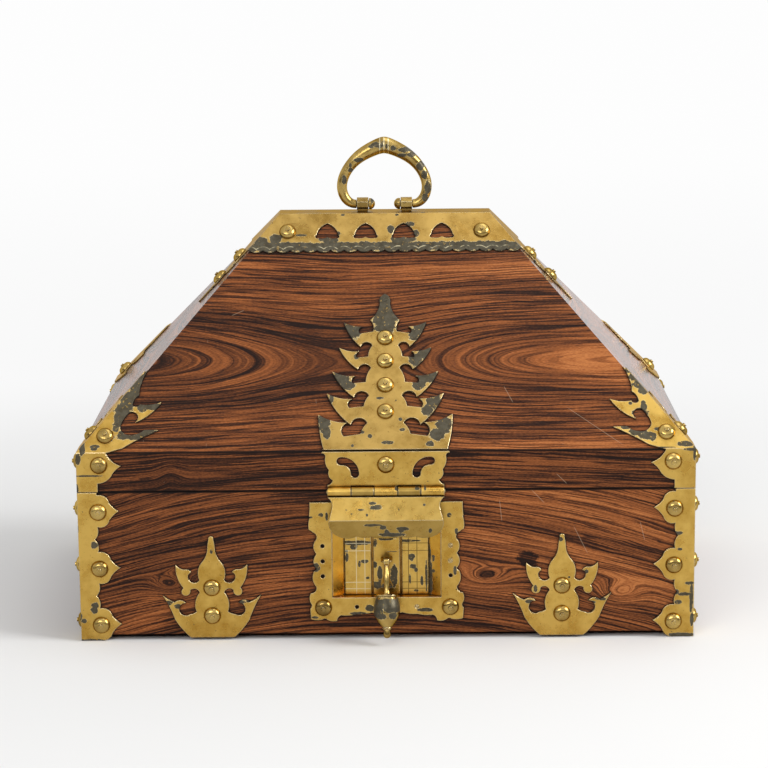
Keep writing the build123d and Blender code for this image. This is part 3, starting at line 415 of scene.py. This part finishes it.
def brass(
    name, face, tones=GOLD, dark=(), wear=-0.52, seed=0.0, roughness=0.30, lines=None, ink=DARK_LINE,
    edge=0.8,
):
    """Old brass: mottled, spotted, black with patina in places, pale on its edges and dark in corners.

    The pale edges are rubbed metal with a painted highlight, and the dark corners are grime with
    painted shade, which reaches wider into hollows under and between parts. dark lists the patina's
    ellipses on the face. wear is how near the rest is to turning dark.
    lines, when given, makes a mask of drawn lines from the shader and the place on the face, and ink
    is their colour. edge is how wide the painted edge highlight is.
    """
    s = new_material(name)
    place = s.place()
    moved = {0: place, 1: (seed * 31.0, seed * 17.0, 0)}
    shifted = s.node("VectorMath", moved, operation="ADD").outputs[0]
    u, v, _ = s.on_face(face)

    # The metal, mottled and spotted, and pale on its edges: rubbed metal there, with a painted highlight.
    rounded = s.node("Bevel", {"Radius": edge * MM}, samples=4).outputs[0]
    true = s.node("NewGeometry", {}).outputs["Normal"]
    worn_edge_glint = s.ease(s.dot(rounded, true), 0.985, 0.93)
    mottling = s.noise(shifted, 11, 5, 0.62)
    cloud = s.noise(shifted, 34, 2, 0.5)
    shade = s.add(s.times(mottling, 0.8), s.times(cloud, 0.5), -0.15)
    colour = s.ramp(shade, [(0.32, tones[0]), (0.60, tones[1])])
    spots = s.ease(s.noise(shifted, 1.3, 3, 0.6), 0.64, 0.72)
    colour = s.mix(s.times(spots, 0.50), colour, BROWN_SPOT)
    colour = s.mix(s.times(worn_edge_glint, 0.75), colour, EDGE_WEAR_AND_HIGHLIGHT)

    # Grime with painted shade in the corners, and painted shade in the wider hollows under and between
    # parts.
    near = s.node("AmbientOcclusion", {"Distance": 1.6 * MM}, samples=6).outputs["AO"]
    wide = s.node("AmbientOcclusion", {"Distance": 9.0 * MM}, samples=6).outputs["AO"]
    unclean = s.times(s.add(mottling, -0.5), 0.5)
    corner = s.ease(s.add(near, unclean), 0.76, 0.46)
    # Painted shade: the wide occlusion darkens hollows, such as the panels under the hood.
    hollow = s.ease(s.add(wide, unclean), 0.52, 0.24)
    grime_and_shade = s.math("MAXIMUM", corner, hollow)
    colour = s.mix(s.times(grime_and_shade, 0.92), colour, GRIME_AND_SHADE)

    # Patina with a ragged edge, flecks round it and bare streaks in it.
    ragged = s.times(s.add(s.noise(shifted, 3.6, 6, 0.70), -0.5), 1.7)
    field = s.add(s.spots(u, v, dark, wear), ragged)
    flecks = s.ease(s.noise(shifted, 2.4, 4, 0.6), 0.700, 0.715)
    bared = s.ease(s.noise(shifted, 1.9, 3, 0.65), 0.63, 0.65)
    patina = s.times(s.ease(field, -0.01, 0.03), s.math("SUBTRACT", 1.0, s.times(bared, 0.6)))
    patina = s.math("MAXIMUM", patina, flecks)
    flake = s.times(s.ease(field, -0.10, -0.03), s.ease(field, 0.03, -0.01))
    film = s.ramp(s.noise(shifted, 3, 4, 0.6), PATINA)
    colour = s.mix(s.times(flake, 0.6), colour, BARE_RIM)
    colour = s.mix(s.times(patina, 0.97), colour, film)
    if lines is not None:
        colour = s.mix(s.times(lines(s, u, v), 0.75), colour, ink)

    # Dents, waves and gloss.
    waves = s.times(s.noise(shifted, 17, 2, 0.5), 1.0)
    height = s.add(waves, s.times(mottling, 0.12), s.times(patina, 0.10))
    pits = s.times(s.noise(shifted, 0.9, 2, 0.5), 0.03)
    dents = s.times(s.noise(shifted, 3.4, 2, 0.5), 0.16)
    normal = s.bump(s.add(height, pits, dents), 0.28, rounded)
    metallic = s.blend(s.math("MAXIMUM", patina, s.times(grime_and_shade, 0.6)), 1.0, 0.25)
    gloss = s.ease(mottling, 0.3, 0.7, roughness - 0.06, roughness + 0.08)
    return s.principled(
        Base_Color=colour, Metallic=metallic, Roughness=s.add(gloss, s.times(patina, 0.16)),
        Normal=normal, Specular_Tint=BRASS_SHEEN,
    )


def scallop_lines(s, u, v):
    """Painted highlight: pale arcs along the lower edge of the ridge cap."""
    pitch = 8.2
    phase = s.math("PINGPONG", s.add(u, 200 * pitch), pitch / 2)
    level = s.math("MULTIPLY_ADD", s.times(phase, phase), -0.11, 139.9)
    drawn = s.ease(s.math("ABSOLUTE", s.add(v, s.times(level, -1.0))), 0.42, 0.12)
    return s.times(drawn, s.ease(s.noise(s.vector(u, v), 5, 3), 0.44, 0.66))


def grid_lines(s, u, v):
    """The engraved lines of a shutter, upright and level."""
    drawn = 0.0
    for away in (12.8, 17.8):
        off = s.math("ABSOLUTE", s.add(s.math("ABSOLUTE", u), -away))
        drawn = s.math("MAXIMUM", drawn, s.ease(off, 0.30, 0.12))
    for level in (29.0, 32.9, 52.0, 56.5):
        drawn = s.math("MAXIMUM", drawn, s.ease(s.math("ABSOLUTE", s.add(v, -level)), 0.30, 0.12))
    return drawn


mounts = {
    "lid_crest": dict(
        face="front_slope", seed=1, tones=SHADED_SLOPE_GOLD,
        dark=[
            (0.0, 98.3, 6.2, 12.0), (0.4, 88.5, 7.5, 9.5), (0.3, 82.3, 6.2, 4.4), (-19.1, 81.1, 5.2, 6.7),
            (-22.1, 85.3, 3.0, 3.5), (21.4, 82.8, 5.2, 4.8), (17.2, 77.3, 3.8, 4.4),
            (-17.0, 62.6, 1.4, 2.2), (23.6, 64.9, 5.4, 5.5), (18.2, 60.2, 4.4, 4.4),
            (-26.7, 49.1, 5.7, 5.4), (-21.9, 43.0, 4.3, 2.8), (25.2, 48.6, 6.5, 4.7),
            (19.8, 43.9, 4.1, 4.3), (-31.5, 34.3, 1.3, 3.4), (28.5, 32.4, 4.3, 5.2),
            (24.3, 25.8, 3.5, 3.4), (-35.9, 18.4, 3.5, 7.3), (-34.1, 11.1, 2.4, 3.9),
            (34.1, 16.4, 4.6, 6.7), (30.5, 9.8, 4.8, 3.9), (25.8, 4.0, 2.4, 2.1), (-3.2, 34.3, 2.2, 0.9),
            (1.4, 4.8, 3.5, 1.2), (-19.2, 2.9, 0.9, 1.1), (-9.0, 9.1, 1.2, 1.2), (-13.5, 11.8, 1.2, 1.1),
            (9.8, 13.3, 1.9, 1.2), (8.7, 20.0, 1.1, 1.2), (2.1, 28.7, 1.3, 0.9),
        ],
    ),
    "ridge_cap": dict(
        face="front_slope", seed=2, tones=SHADED_SLOPE_GOLD, lines=scallop_lines, ink=HIGHLIGHT_LINE,
        dark=[
            (3.8, 152.1, 2.0, 3.0), (15.4, 155.6, 3.1, 2.0), (19.0, 148.8, 2.0, 2.3),
            (-28.4, 149.3, 1.4, 1.3), (-50.3, 148.0, 3.1, 0.8), (-25.4, 162.5, 1.3, 0.8),
            (7.5, 162.2, 1.0, 0.8), (23.4, 164.2, 1.7, 0.7), (-75.1, 143.5, 4.2, 3.6),
            (-66.1, 145.6, 3.6, 3.6), (-33.9, 145.3, 5.6, 4.0), (11.1, 145.1, 7.0, 3.6),
            *[(12.0 * step, 139.4, 7.6, 3.7) for step in range(-7, 8)],
            *[(12.0 * step - 6.0, 139.6, 7.0, 3.0) for step in range(-6, 8)],
        ],
    ),
    "hasp_rim_plate": dict(
        face="front_wall", seed=3,
        dark=[
            (6.4, 91.8, 1.3, 1.0), (22.7, 91.9, 0.7, 1.2),
        ],
    ),
    "hasp_flap": dict(
        face="front_wall", seed=4, tones=SHADED_HOOD_GOLD,
        dark=[
            (-8.0, 83.7, 2.4, 0.9), (-5.8, 81.5, 3.6, 1.4), (22.2, 82.8, 0.8, 0.7),
            (-11.0, 77.4, 0.6, 0.7), (-7.6, 71.2, 5.3, 0.8), (-1.8, 69.5, 2.0, 1.5), (0.4, 66.5, 1.6, 2.3),
            (3.1, 64.7, 7.3, 1.3), (9.7, 68.7, 3.5, 1.3), (8.7, 67.2, 1.6, 1.2), (25.6, 67.3, 1.1, 1.7),
            (-22.1, 90.3, 1.0, 0.5), (18.1, 91.9, 1.5, 0.9), (-14.4, 80.2, 2.2, 0.5),
        ],
    ),
    "lock_plate": dict(
        face="front_wall", seed=5,
        dark=[
            (-34.7, 74.4, 0.8, 2.6), (-44.1, 74.0, 1.2, 0.7), (-41.1, 43.6, 2.0, 2.6),
            (-42.4, 13.4, 2.2, 0.8), (40.9, 64.9, 1.0, 1.9), (-10.3, 18.7, 2.5, 2.1),
            (22.3, 17.7, 5.1, 1.1), (-16.6, 15.7, 5.1, 0.9), (40.0, 41.5, 1.0, 2.6),
            (31.7, 68.0, 0.5, 2.6), (-14.1, 14.2, 2.5, 0.7), (-38.2, 75.4, 1.3, 1.3),
            (36.5, 74.9, 1.3, 1.3),
        ],
    ),
    "lock_tray": dict(face="front_wall", seed=6, tones=WARM),
    "lock_splay_left": dict(face="front_wall", seed=7, tones=REFLECTED_ORANGE),
    "lock_splay_right": dict(
        face="front_wall", seed=8, tones=REFLECTED_ORANGE,
        dark=[
            (25.5, 35.7, 1.4, 10.5), (25.1, 50.1, 1.0, 5.2), (27.5, 47.4, 0.7, 1.6),
            (27.4, 48.8, 1.0, 1.0), (27.4, 40.0, 1.0, 1.0),
        ],
    ),
    "lock_slide": dict(
        face="front_wall", seed=9,
        dark=[
            (-6.9, 56.8, 1.3, 2.3), (-0.1, 59.2, 5.6, 1.0), (-7.0, 43.5, 1.4, 1.9), (-4.0, 37.4, 1.5, 5.2),
            (4.2, 36.6, 2.2, 7.2), (-6.1, 31.0, 2.5, 2.3), (0.4, 30.6, 3.4, 1.9), (3.5, 51.4, 3.2, 0.3),
        ],
    ),
    "lock_shutter_left": dict(
        # Painted highlight on the engraved lines.
        face="front_wall", seed=10, lines=grid_lines, ink=HIGHLIGHT_LINE,
        dark=[
            (-23.3, 48.6, 1.0, 3.0), (-23.5, 52.0, 0.9, 1.0), (-19.1, 54.8, 2.0, 1.9),
            (-13.1, 45.5, 2.4, 1.1), (-16.0, 44.2, 0.8, 2.3), (-11.3, 35.6, 1.0, 0.8),
            (-17.7, 56.9, 9.3, 1.4),
        ],
    ),
    "lock_shutter_right": dict(
        face="front_wall", seed=11, lines=grid_lines,
        dark=[
            (14.7, 47.9, 1.9, 2.1), (15.5, 42.2, 2.0, 1.6), (17.2, 40.3, 1.2, 1.4), (20.6, 33.4, 1.0, 2.8),
            (13.6, 34.9, 0.6, 3.2), (23.3, 37.2, 0.7, 9.6), (17.3, 27.7, 1.4, 0.7), (13.1, 57.9, 5.9, 0.8),
        ],
    ),
    "lotus_mount_left": dict(
        face="front_wall", seed=12,
        dark=[
            (-102.4, 53.8, 0.8, 1.2), (-106.0, 59.9, 1.3, 1.4), (-128.6, 22.8, 2.9, 1.4),
            (-122.4, 20.6, 2.3, 1.4), (-81.2, 25.1, 2.1, 2.6), (-85.8, 23.0, 2.9, 1.0),
        ],
    ),
    "lotus_mount_right": dict(
        face="front_wall", seed=13,
        dark=[
            (101.7, 59.6, 1.2, 1.4), (106.9, 36.7, 0.8, 0.7), (87.2, 29.9, 1.3, 2.2),
            (116.9, 40.1, 1.2, 1.2), (125.4, 23.5, 3.3, 1.0), (120.4, 21.4, 2.3, 0.9),
            (83.5, 22.1, 2.9, 1.2),
        ],
    ),
    "base_corner_front_left": dict(
        face="front_wall", seed=14,
        dark=[
            (-170.9, 58.2, 2.0, 2.2), (-171.5, 21.9, 2.2, 1.7), (-171.9, 18.6, 1.9, 2.2),
            (-180.9, 40.2, 0.9, 4.7), (-178.0, 12.1, 1.6, 1.4), (-180.2, 15.2, 1.2, 2.2),
            (-175.1, -0.2, 9.5, 1.3), (-180.5, 67.4, 0.8, 2.8), (-180.8, 56.5, 0.7, 3.6),
        ],
    ),
    "base_corner_front_right": dict(
        face="front_wall", seed=15,
        dark=[
            (170.1, 62.9, 2.7, 1.2), (169.2, 27.2, 2.4, 1.4), (173.9, 26.0, 3.5, 1.1),
            (170.7, 21.1, 1.9, 1.3), (177.3, 32.6, 2.4, 1.3), (178.4, 24.1, 1.1, 9.8),
            (179.0, 10.7, 1.1, 4.2), (173.3, 1.2, 8.1, 1.3), (171.4, 53.2, 1.3, 0.8),
        ],
    ),
    "base_corner_back_left": dict(face="front_wall", seed=16),
    "base_corner_back_right": dict(face="front_wall", seed=17),
    "lid_corner_front_left": dict(
        face="front_slope", seed=18,
        dark=[
            (-140.5, 53.0, 2.5, 2.5), (-143.9, 47.5, 3.4, 4.9), (-147.0, 42.0, 4.1, 5.8),
            (-150.7, 34.5, 4.9, 6.0), (-153.3, 27.4, 4.9, 5.7), (-155.6, 21.2, 3.5, 5.0),
            (-151.9, 11.3, 4.9, 3.8), (-145.3, 10.8, 7.5, 3.2), (-138.9, 13.5, 5.5, 1.9),
            (-142.4, 29.4, 2.9, 2.9), (-136.6, 30.2, 5.1, 2.5), (-157.2, 15.4, 2.0, 2.5),
            (-169.0, 3.6, 3.0, 1.5), (-176.2, 2.4, 1.7, 3.8), (-178.8, -3.3, 1.7, 2.4),
            (-161.0, 10.9, 2.5, 3.8), (-173.2, -10.8, 8.0, 0.4), (-169.2, 2.1, 2.1, 1.1),
            (-179.7, -16.4, 0.9, 2.1),
        ],
    ),
    "lid_corner_front_right": dict(
        face="front_slope", seed=19,
        dark=[
            (142.8, 51.7, 2.2, 1.8), (146.2, 47.4, 3.4, 2.9), (148.9, 42.8, 3.5, 3.3),
            (151.3, 38.4, 3.0, 2.9), (137.0, 32.0, 1.2, 1.0), (143.3, 29.8, 1.3, 1.2),
            (148.7, 23.7, 5.0, 2.5), (151.1, 27.7, 1.8, 3.3), (140.2, 14.1, 3.0, 1.7),
            (146.6, 11.2, 5.0, 2.5), (152.2, 8.2, 5.0, 2.6), (155.1, 7.4, 2.2, 2.5),
            (158.6, 12.7, 2.2, 1.1), (173.7, 2.7, 5.0, 1.9), (179.2, -1.4, 1.0, 3.8),
            (156.7, 36.8, 0.7, 0.8), (177.6, -0.7, 5.3, 0.8), (161.3, 0.6, 8.0, 0.4),
        ],
    ),
    "lid_corner_back_left": dict(face="back_slope", seed=20, wear=-0.40),
    "lid_corner_back_right": dict(face="back_slope", seed=21, wear=-0.40),
}
brasses = {}
for name, look in mounts.items():
    look["face"] = FACES[look["face"]]
    brasses[name] = brass("brass_" + name, **look)
    dress([name], brasses[name])

hinge_brass = brass("brass_rear_hinges", FACES["back_wall"], seed=22, wear=-0.40)
for side in ("left", "right"):
    dress([f"hinge_lid_leaf_{side}", f"hinge_base_leaf_{side}"], hinge_brass)


def crown_rings(s, u, v):
    """The three rings turned round the crown of the bail."""
    drawn = 0.0
    for away in (-2.6, 0.0, 2.6):
        drawn = s.math("MAXIMUM", drawn, s.ease(s.math("ABSOLUTE", s.add(u, -away)), 0.45, 0.20))
    return s.times(drawn, s.ease(v, 270.0, 271.0))


bail_brass = brass(
    "cast_brass_bail", FACES["front_wall"], CAST, seed=23, wear=-0.40, roughness=0.22,
    # Painted highlight on the turned rings of the crown.
    lines=crown_rings, ink=HIGHLIGHT_LINE,
    dark=[
        (-3.8, 279.0, 3.7, 1.7), (-7.9, 278.0, 1.6, 0.9), (-20.6, 266.8, 0.9, 1.4),
        (-24.4, 257.7, 1.4, 2.8), (-20.6, 263.8, 1.7, 1.7), (13.2, 276.1, 4.8, 1.6),
        (16.9, 272.9, 3.1, 1.7), (22.3, 266.3, 2.7, 2.7), (24.6, 260.7, 1.7, 2.7),
        (26.6, 252.4, 2.0, 4.7), (25.2, 246.3, 2.2, 2.7), (5.8, 277.2, 1.7, 1.7),
        (-7.4, 245.1, 1.2, 1.9), (-15.4, 269.9, 3.1, 1.3),
        (11.1, 272.7, 3.1, 1.1), (-1.1, 280.0, 0.6, 1.6), (1.6, 278.6, 0.8, 1.6),
    ],
)
dress(["bail_handle"], bail_brass)
post_brass = brass("cast_brass_posts", FACES["front_wall"], CAST, seed=27, wear=-0.44, roughness=0.24)
dress(["bail_post_left", "bail_post_right", "bail_post_washers"], post_brass)
pull_brass = brass(
    "cast_brass_pull", FACES["front_wall"], CAST, seed=24, roughness=0.18,
    dark=[
        (-5.4, 23.3, 3.5, 5.3), (0.1, 26.1, 6.7, 2.4), (2.1, 23.2, 4.7, 2.4), (-4.4, 19.0, 4.3, 2.4),
        (3.5, 19.0, 2.4, 2.0), (6.2, 23.2, 2.4, 3.3), (0.4, 26.8, 7.1, 1.6),
    ],
)
dress(["drop_pull"], pull_brass)
loop_brass = brass("cast_brass_loops", FACES["front_wall"], CAST, seed=28, roughness=0.26)
dress(["pull_staple", "hasp_loop"], loop_brass)
pin_brass = brass("brass_pins", FACES["front_wall"], CAST, seed=25, roughness=0.25)
dress(["hasp_pin", "hinge_pin_left", "hinge_pin_right"], pin_brass)
rivet_brass = brass(
    "brass_rivets", FACES["front_wall"], CAST, seed=26, wear=-0.55, roughness=0.20, edge=0.3,
)
dress([name for name in nodes if name.endswith("_rivets")], rivet_brass)


# ================================================================ pieces that stand for plainer solids
HINGE_AXIS = (4.0, 89.7)  # the hasp's pin: out from the wood, and height
HASP_HALF = 33.9
HASP_SHEET = 1.4
HOOD_FOLDS = [(5.9, 87.1), (10.4, 74.2), (5.0, 61.4)]  # out from the wood, and height
HOOD_SIDE = [  # half of its outline from the middle of the foot; the third value bends the next edge
    (0.0, 62.1, -0.034), (8.8, 63.3, -0.09), (17.1, 63.6, -0.1), (25.8, 62.9, -0.17),
    (33.5, 72.5, 0.0), (31.3, 81.0, 0.16), (33.9, 87.1, 0.0),
]
KNUCKLE_COUNT = 5
KNUCKLE_RADIUS = 2.8
KNUCKLE_BORE = 2.2
KNUCKLE_GAP = 0.3
PULL_PIVOT = (2.3, 47.4)  # out from the wood, and height
PULL_LEAN = math.radians(18.0)
PULL_PROFILE = [  # radius, and how far below the pivot
    (0.0, 1.6), (1.1, 1.9), (1.2, 3.4), (1.3, 5.0), (1.7, 7.2), (2.0, 9.4), (1.8, 12.4), (1.5, 15.4),
    (1.6, 17.2), (2.0, 19.0), (6.2, 19.2), (6.9, 20.0), (6.0, 21.0), (7.0, 23.4), (7.6, 25.8),
    (7.8, 28.2), (7.7, 30.1), (7.3, 32.0), (6.9, 32.4), (6.4, 33.5), (5.7, 34.6), (4.9, 35.6),
    (4.0, 36.6), (3.2, 37.6), (2.5, 38.5), (2.9, 39.0), (2.0, 39.8), (2.2, 42.6), (1.9, 43.7),
    (1.1, 44.5), (0.0, 44.8),
]
EYE_RIM = [  # radius, and place along the pivot
    (1.1, -1.3), (2.5, -1.5), (2.7, -1.3), (2.7, 1.3), (2.5, 1.5), (1.1, 1.3), (1.1, -1.3),
]
NAIL_PROFILE = [  # share of its radius, and rise above the sheet
    (0.0, 0.55), (0.35, 0.5), (0.45, 0.3), (0.62, 0.5), (0.9, 0.4), (1.0, 0.0),
]
SHARP_EDGE = math.radians(35)


def piece(name, vertices, faces, body, material):
    """A smooth mesh from points in millimetres, carried by a body."""
    mesh = bpy.data.meshes.new(name)
    mesh.from_pydata([Vector(vertex) * MM for vertex in vertices], [], faces)
    mesh.validate()
    mesh.materials.append(material)
    for polygon in mesh.polygons:
        polygon.use_smooth = True
    bm = bmesh.new()
    bm.from_mesh(mesh)
    bmesh.ops.recalc_face_normals(bm, faces=bm.faces)
    bm.to_mesh(mesh)
    bm.free()
    mesh.set_sharp_from_angle(angle=SHARP_EDGE)
    made = bpy.data.objects.new(name, mesh)
    bpy.context.scene.collection.objects.link(made)
    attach(made, body)
    return made


def turned(profile, place, segments=48):
    """Points and faces of a turned form: place gives the point at a radius, a drop and an angle."""
    angles = [2 * math.pi * step / segments for step in range(segments)]
    vertices = [place(radius, drop, angle) for radius, drop in profile for angle in angles]
    faces = []
    for ring in range(len(profile) - 1):
        low, high = ring * segments, (ring + 1) * segments
        for step in range(segments):
            after = (step + 1) % segments
            faces.append((low + step, low + after, high + after, high + step))
    return vertices, faces


def joined(vertices, faces, more_vertices, more_faces):
    """Two forms as one list of points and one of faces."""
    start = len(vertices)
    return vertices + more_vertices, faces + [[start + i for i in face] for face in more_faces]


def bent_outline(corners, steps=7):
    """The points of an open outline whose edges bend to their left by a share of their length."""
    points = []
    for (x, z, hollow), (next_x, next_z, _) in zip(corners, corners[1:]):
        dx, dz = next_x - x, next_z - z
        for step in range(steps if hollow else 1):
            t = step / steps
            bend = 4 * hollow * t * (1 - t)
            points.append((x + dx * t - dz * bend, z + dz * t + dx * bend))
    return points + [corners[-1][:2]]


def strip_side(folds, offset):
    """The folds of a strip's middle line, moved square to it by offset."""
    lines = [Vector((b[0] - a[0], b[1] - a[1])).normalized() for a, b in zip(folds, folds[1:])]
    moved = []
    for index, fold in enumerate(folds):
        before, after = lines[max(index - 1, 0)], lines[min(index, len(lines) - 1)]
        mitre = (before + after).normalized()
        normal = Vector((-mitre.y, mitre.x)) * offset / max(mitre.dot(before), 0.2)
        moved.append((fold[0] + normal.x, fold[1] + normal.y))
    return moved


def out_at(folds, level):
    """How far out a folded strip stands at a height."""
    for (out, high), (next_out, low) in zip(folds, folds[1:]):
        if level >= low or low == folds[-1][1]:
            return out + (next_out - out) * (high - level) / (high - low)
    return folds[-1][0]


def split_at(loop, level):
    """A closed outline with a point added wherever it crosses a height."""
    ringed = []
    for (x, z), (next_x, next_z) in zip(loop, loop[1:] + loop[:1]):
        ringed.append((x, z))
        if (z - level) * (next_z - level) < 0:
            share = (level - z) / (next_z - z)
            ringed.append((x + (next_x - x) * share, level))
    return ringed


def hood_sheet():
    """Points and faces of the hood, a folded sheet with waisted sides and a scalloped foot."""
    right = bent_outline(HOOD_SIDE)
    loop = right + [(-x, z) for x, z in reversed(right) if x > 0]
    sides = [strip_side(HOOD_FOLDS, offset) for offset in (-HASP_SHEET / 2, HASP_SHEET / 2)]
    for folds in sides:
        loop = split_at(loop, folds[1][1])
    count = len(loop)
    vertices = [(x, -HALF_DEPTH - out_at(folds, z), z) for folds in sides for x, z in loop]
    faces = []
    for side, folds in enumerate(sides):
        level = folds[1][1]
        above = [side * count + i for i, (x, z) in enumerate(loop) if z >= level - 1e-6]
        below = [side * count + i for i, (x, z) in enumerate(loop) if z <= level + 1e-6]
        faces += [above, below]
    for i in range(count):
        after = (i + 1) % count
        faces.append((i, after, count + after, count + i))
    return vertices, faces


def hood():
    """The hasp's hood with its two knuckles."""
    axis_out, axis_height = HINGE_AXIS

    def place(radius, x, angle):
        out = HALF_DEPTH + axis_out - radius * math.cos(angle)
        return (x, -out, axis_height + radius * math.sin(angle))

    vertices, faces = hood_sheet()
    length = 2 * HASP_HALF / KNUCKLE_COUNT
    for start in (-1.5 * length, 0.5 * length):
        left, right = start + KNUCKLE_GAP / 2, start + length - KNUCKLE_GAP / 2
        rim = [
            (KNUCKLE_BORE, left), (KNUCKLE_RADIUS, left + 0.3), (KNUCKLE_RADIUS, right - 0.3),
            (KNUCKLE_BORE, right), (0.0, right), (0.0, left), (KNUCKLE_BORE, left),
        ]
        vertices, faces = joined(vertices, faces, *turned(rim, place, 32))
    made = piece("hasp_hood", vertices, faces, "hasp", brasses["hasp_flap"])
    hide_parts("hasp_flap")


def drop():
    """The turned drop with its eye, leaning out from the lock."""
    pivot = Vector((0, -HALF_DEPTH - PULL_PIVOT[0], PULL_PIVOT[1]))
    side = Vector((1, 0, 0))
    down = Vector((0, -math.sin(PULL_LEAN), -math.cos(PULL_LEAN)))
    back = Vector((0, math.cos(PULL_LEAN), -math.sin(PULL_LEAN)))

    def place(radius, below, angle):
        return pivot + down * below + (side * math.cos(angle) + back * math.sin(angle)) * radius

    def eye_place(radius, x, angle):
        return pivot + side * x + (down * math.cos(angle) + back * math.sin(angle)) * radius

    vertices, faces = joined(*turned(PULL_PROFILE, place), *turned(EYE_RIM, eye_place, 40))
    made = piece("pull_drop", vertices, faces, "pull", pull_brass)
    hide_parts("drop_pull")


def small_nail(name, face, u, v, lift, radius, body, material):
    """A flat little nail head on a face, lift above the wood."""
    middle = face.origin + face.along * u + face.across * v + face.out * lift

    def place(share, rise, angle):
        turn = face.along * math.cos(angle) + face.across * math.sin(angle)
        return middle + turn * (share * radius) + face.out * rise

    vertices, faces = turned(NAIL_PROFILE, place, 24)
    piece(name, vertices, faces, body, material)


hood()
drop()
crest_brass, plate_brass = brasses["lid_crest"], brasses["lock_plate"]
small_nail("crest_tip_nail", FACES["front_slope"], 0.0, 101.6, 1.4, 1.5, "lid", crest_brass)
for number, (u, v) in enumerate([(37.4, 56.6), (37.4, 47.4), (17.6, 19.6)]):
    name = f"plate_nail_{number}"
    small_nail(name, FACES["front_wall"], u, v, HALF_DEPTH + 1.0, 1.2, "base", plate_brass)


# ================================================================ stage, light and camera
FLOOR_HALF = 6.0  # metres
PAPER = (0.80, 0.80, 0.795, 1)
NEAR_WHITE = (0.945, 0.945, 0.945, 1)
FAR_WHITE = (0.985, 0.985, 0.985, 1)
WHITE = (1, 1, 1, 1)


def stage_floor():
    """Pale paper that takes the chest's shadow, and turns into plain white away from it."""
    mesh = bpy.data.meshes.new("studio_floor")
    corners = [(x * FLOOR_HALF, y * FLOOR_HALF, 0) for x, y in ((-1, -1), (1, -1), (1, 1), (-1, 1))]
    mesh.from_pydata(corners, [], [(0, 1, 2, 3)])
    made = bpy.data.objects.new("studio_floor", mesh)
    bpy.context.scene.collection.objects.link(made)
    s = new_material("studio_floor")
    away = s.length(s.place())
    paper = s.node("BsdfDiffuse", {"Color": PAPER}).outputs[0]
    white = s.ramp(s.ease(away, 700, 2600), [(0.0, NEAR_WHITE), (1.0, FAR_WHITE)])
    sweep = s.node("Emission", {"Color": white, "Strength": 1.0}).outputs[0]
    mixed = s.node("MixShader", {0: s.ease(away, 260, 760), 1: paper, 2: sweep}).outputs[0]
    mesh.materials.append(s.show(mixed))


def soft_light(name, place, aim, size, watts):
    """A rectangular lamp; its values are in metres and watts."""
    data = bpy.data.lights.new(name, "AREA")
    data.shape = "RECTANGLE"
    data.size, data.size_y = size
    data.energy = watts
    made = bpy.data.objects.new(name, data)
    made.location = place
    made.rotation_euler = (Vector(aim) - Vector(place)).to_track_quat("-Z", "Y").to_euler()
    bpy.context.scene.collection.objects.link(made)


def studio_world():
    """White where it is seen, soft where it lights, and a studio with a dim end in reflections."""
    world = bpy.data.worlds.new("studio")
    bpy.context.scene.world = world
    s = Shader(world)
    rays = s.node("LightPath", {}).outputs
    seen = s.math("MAXIMUM", rays["Is Camera Ray"], rays["Is Transmission Ray"])
    way = s.node("TexCoord", {}).outputs["Generated"]
    # The dim end is a band round the front, at the height of the chest.
    level = s.math("ABSOLUTE", s.add(s.dot(way, (0, 0, 1)), -0.02))
    band = s.times(s.ease(level, 0.34, 0.08), s.ease(s.dot(way, (0, -1, 0)), -0.25, 0.45))
    dim = s.math("MULTIPLY_ADD", band, -0.80, 1.0)
    white = s.node("Background", {"Color": FAR_WHITE, "Strength": 1.0}).outputs[0]
    studio = s.node("Background", {"Color": WHITE, "Strength": dim}).outputs[0]
    ambient = s.node("Background", {"Color": WHITE, "Strength": 0.55}).outputs[0]
    lit = s.node("MixShader", {0: rays["Is Glossy Ray"], 1: ambient, 2: studio}).outputs[0]
    s.show(s.node("MixShader", {0: seen, 1: lit, 2: white}).outputs[0], "OutputWorld")


FOCAL_PIXELS = 2600.0
FRAME_PIXELS = 768.0


def main_camera():
    """The main view: place, turn and focal length."""
    place = Vector((8.57, -1586.75, 447.45)) * MM
    yaw, pitch, roll = (math.radians(degrees) for degrees in (-0.3566, 11.3261, -0.5148))
    level_part = math.cos(pitch)
    ahead = Vector((math.sin(yaw) * level_part, math.cos(yaw) * level_part, -math.sin(pitch)))
    level = Vector((math.cos(yaw), -math.sin(yaw), 0))
    upward = level.cross(ahead)
    right = level * math.cos(roll) + upward * math.sin(roll)
    up = upward * math.cos(roll) - level * math.sin(roll)
    data = bpy.data.cameras.new("main_camera")
    data.sensor_width = 36.0
    data.lens = FOCAL_PIXELS * data.sensor_width / FRAME_PIXELS
    data.clip_end = 30.0
    made = bpy.data.objects.new("main_camera", data)
    turn = Matrix((right, up, -ahead)).transposed().to_4x4()
    made.matrix_world = Matrix.Translation(place) @ turn
    bpy.context.scene.collection.objects.link(made)
    bpy.context.scene.camera = made


stage_floor()
studio_world()
soft_light("key", (1.8, -0.6, 1.25), (0, 0, 0.10), (1.0, 1.0), 34.0)
soft_light("front", (-0.7, -1.9, 1.2), (0, 0, 0.12), (1.2, 0.8), 13.0)
soft_light("top", (0.4, 0.1, 2.1), (0, 0, 0.1), (1.4, 0.9), 7.0)
main_camera()
bpy.context.scene.view_settings.view_transform = "Standard"
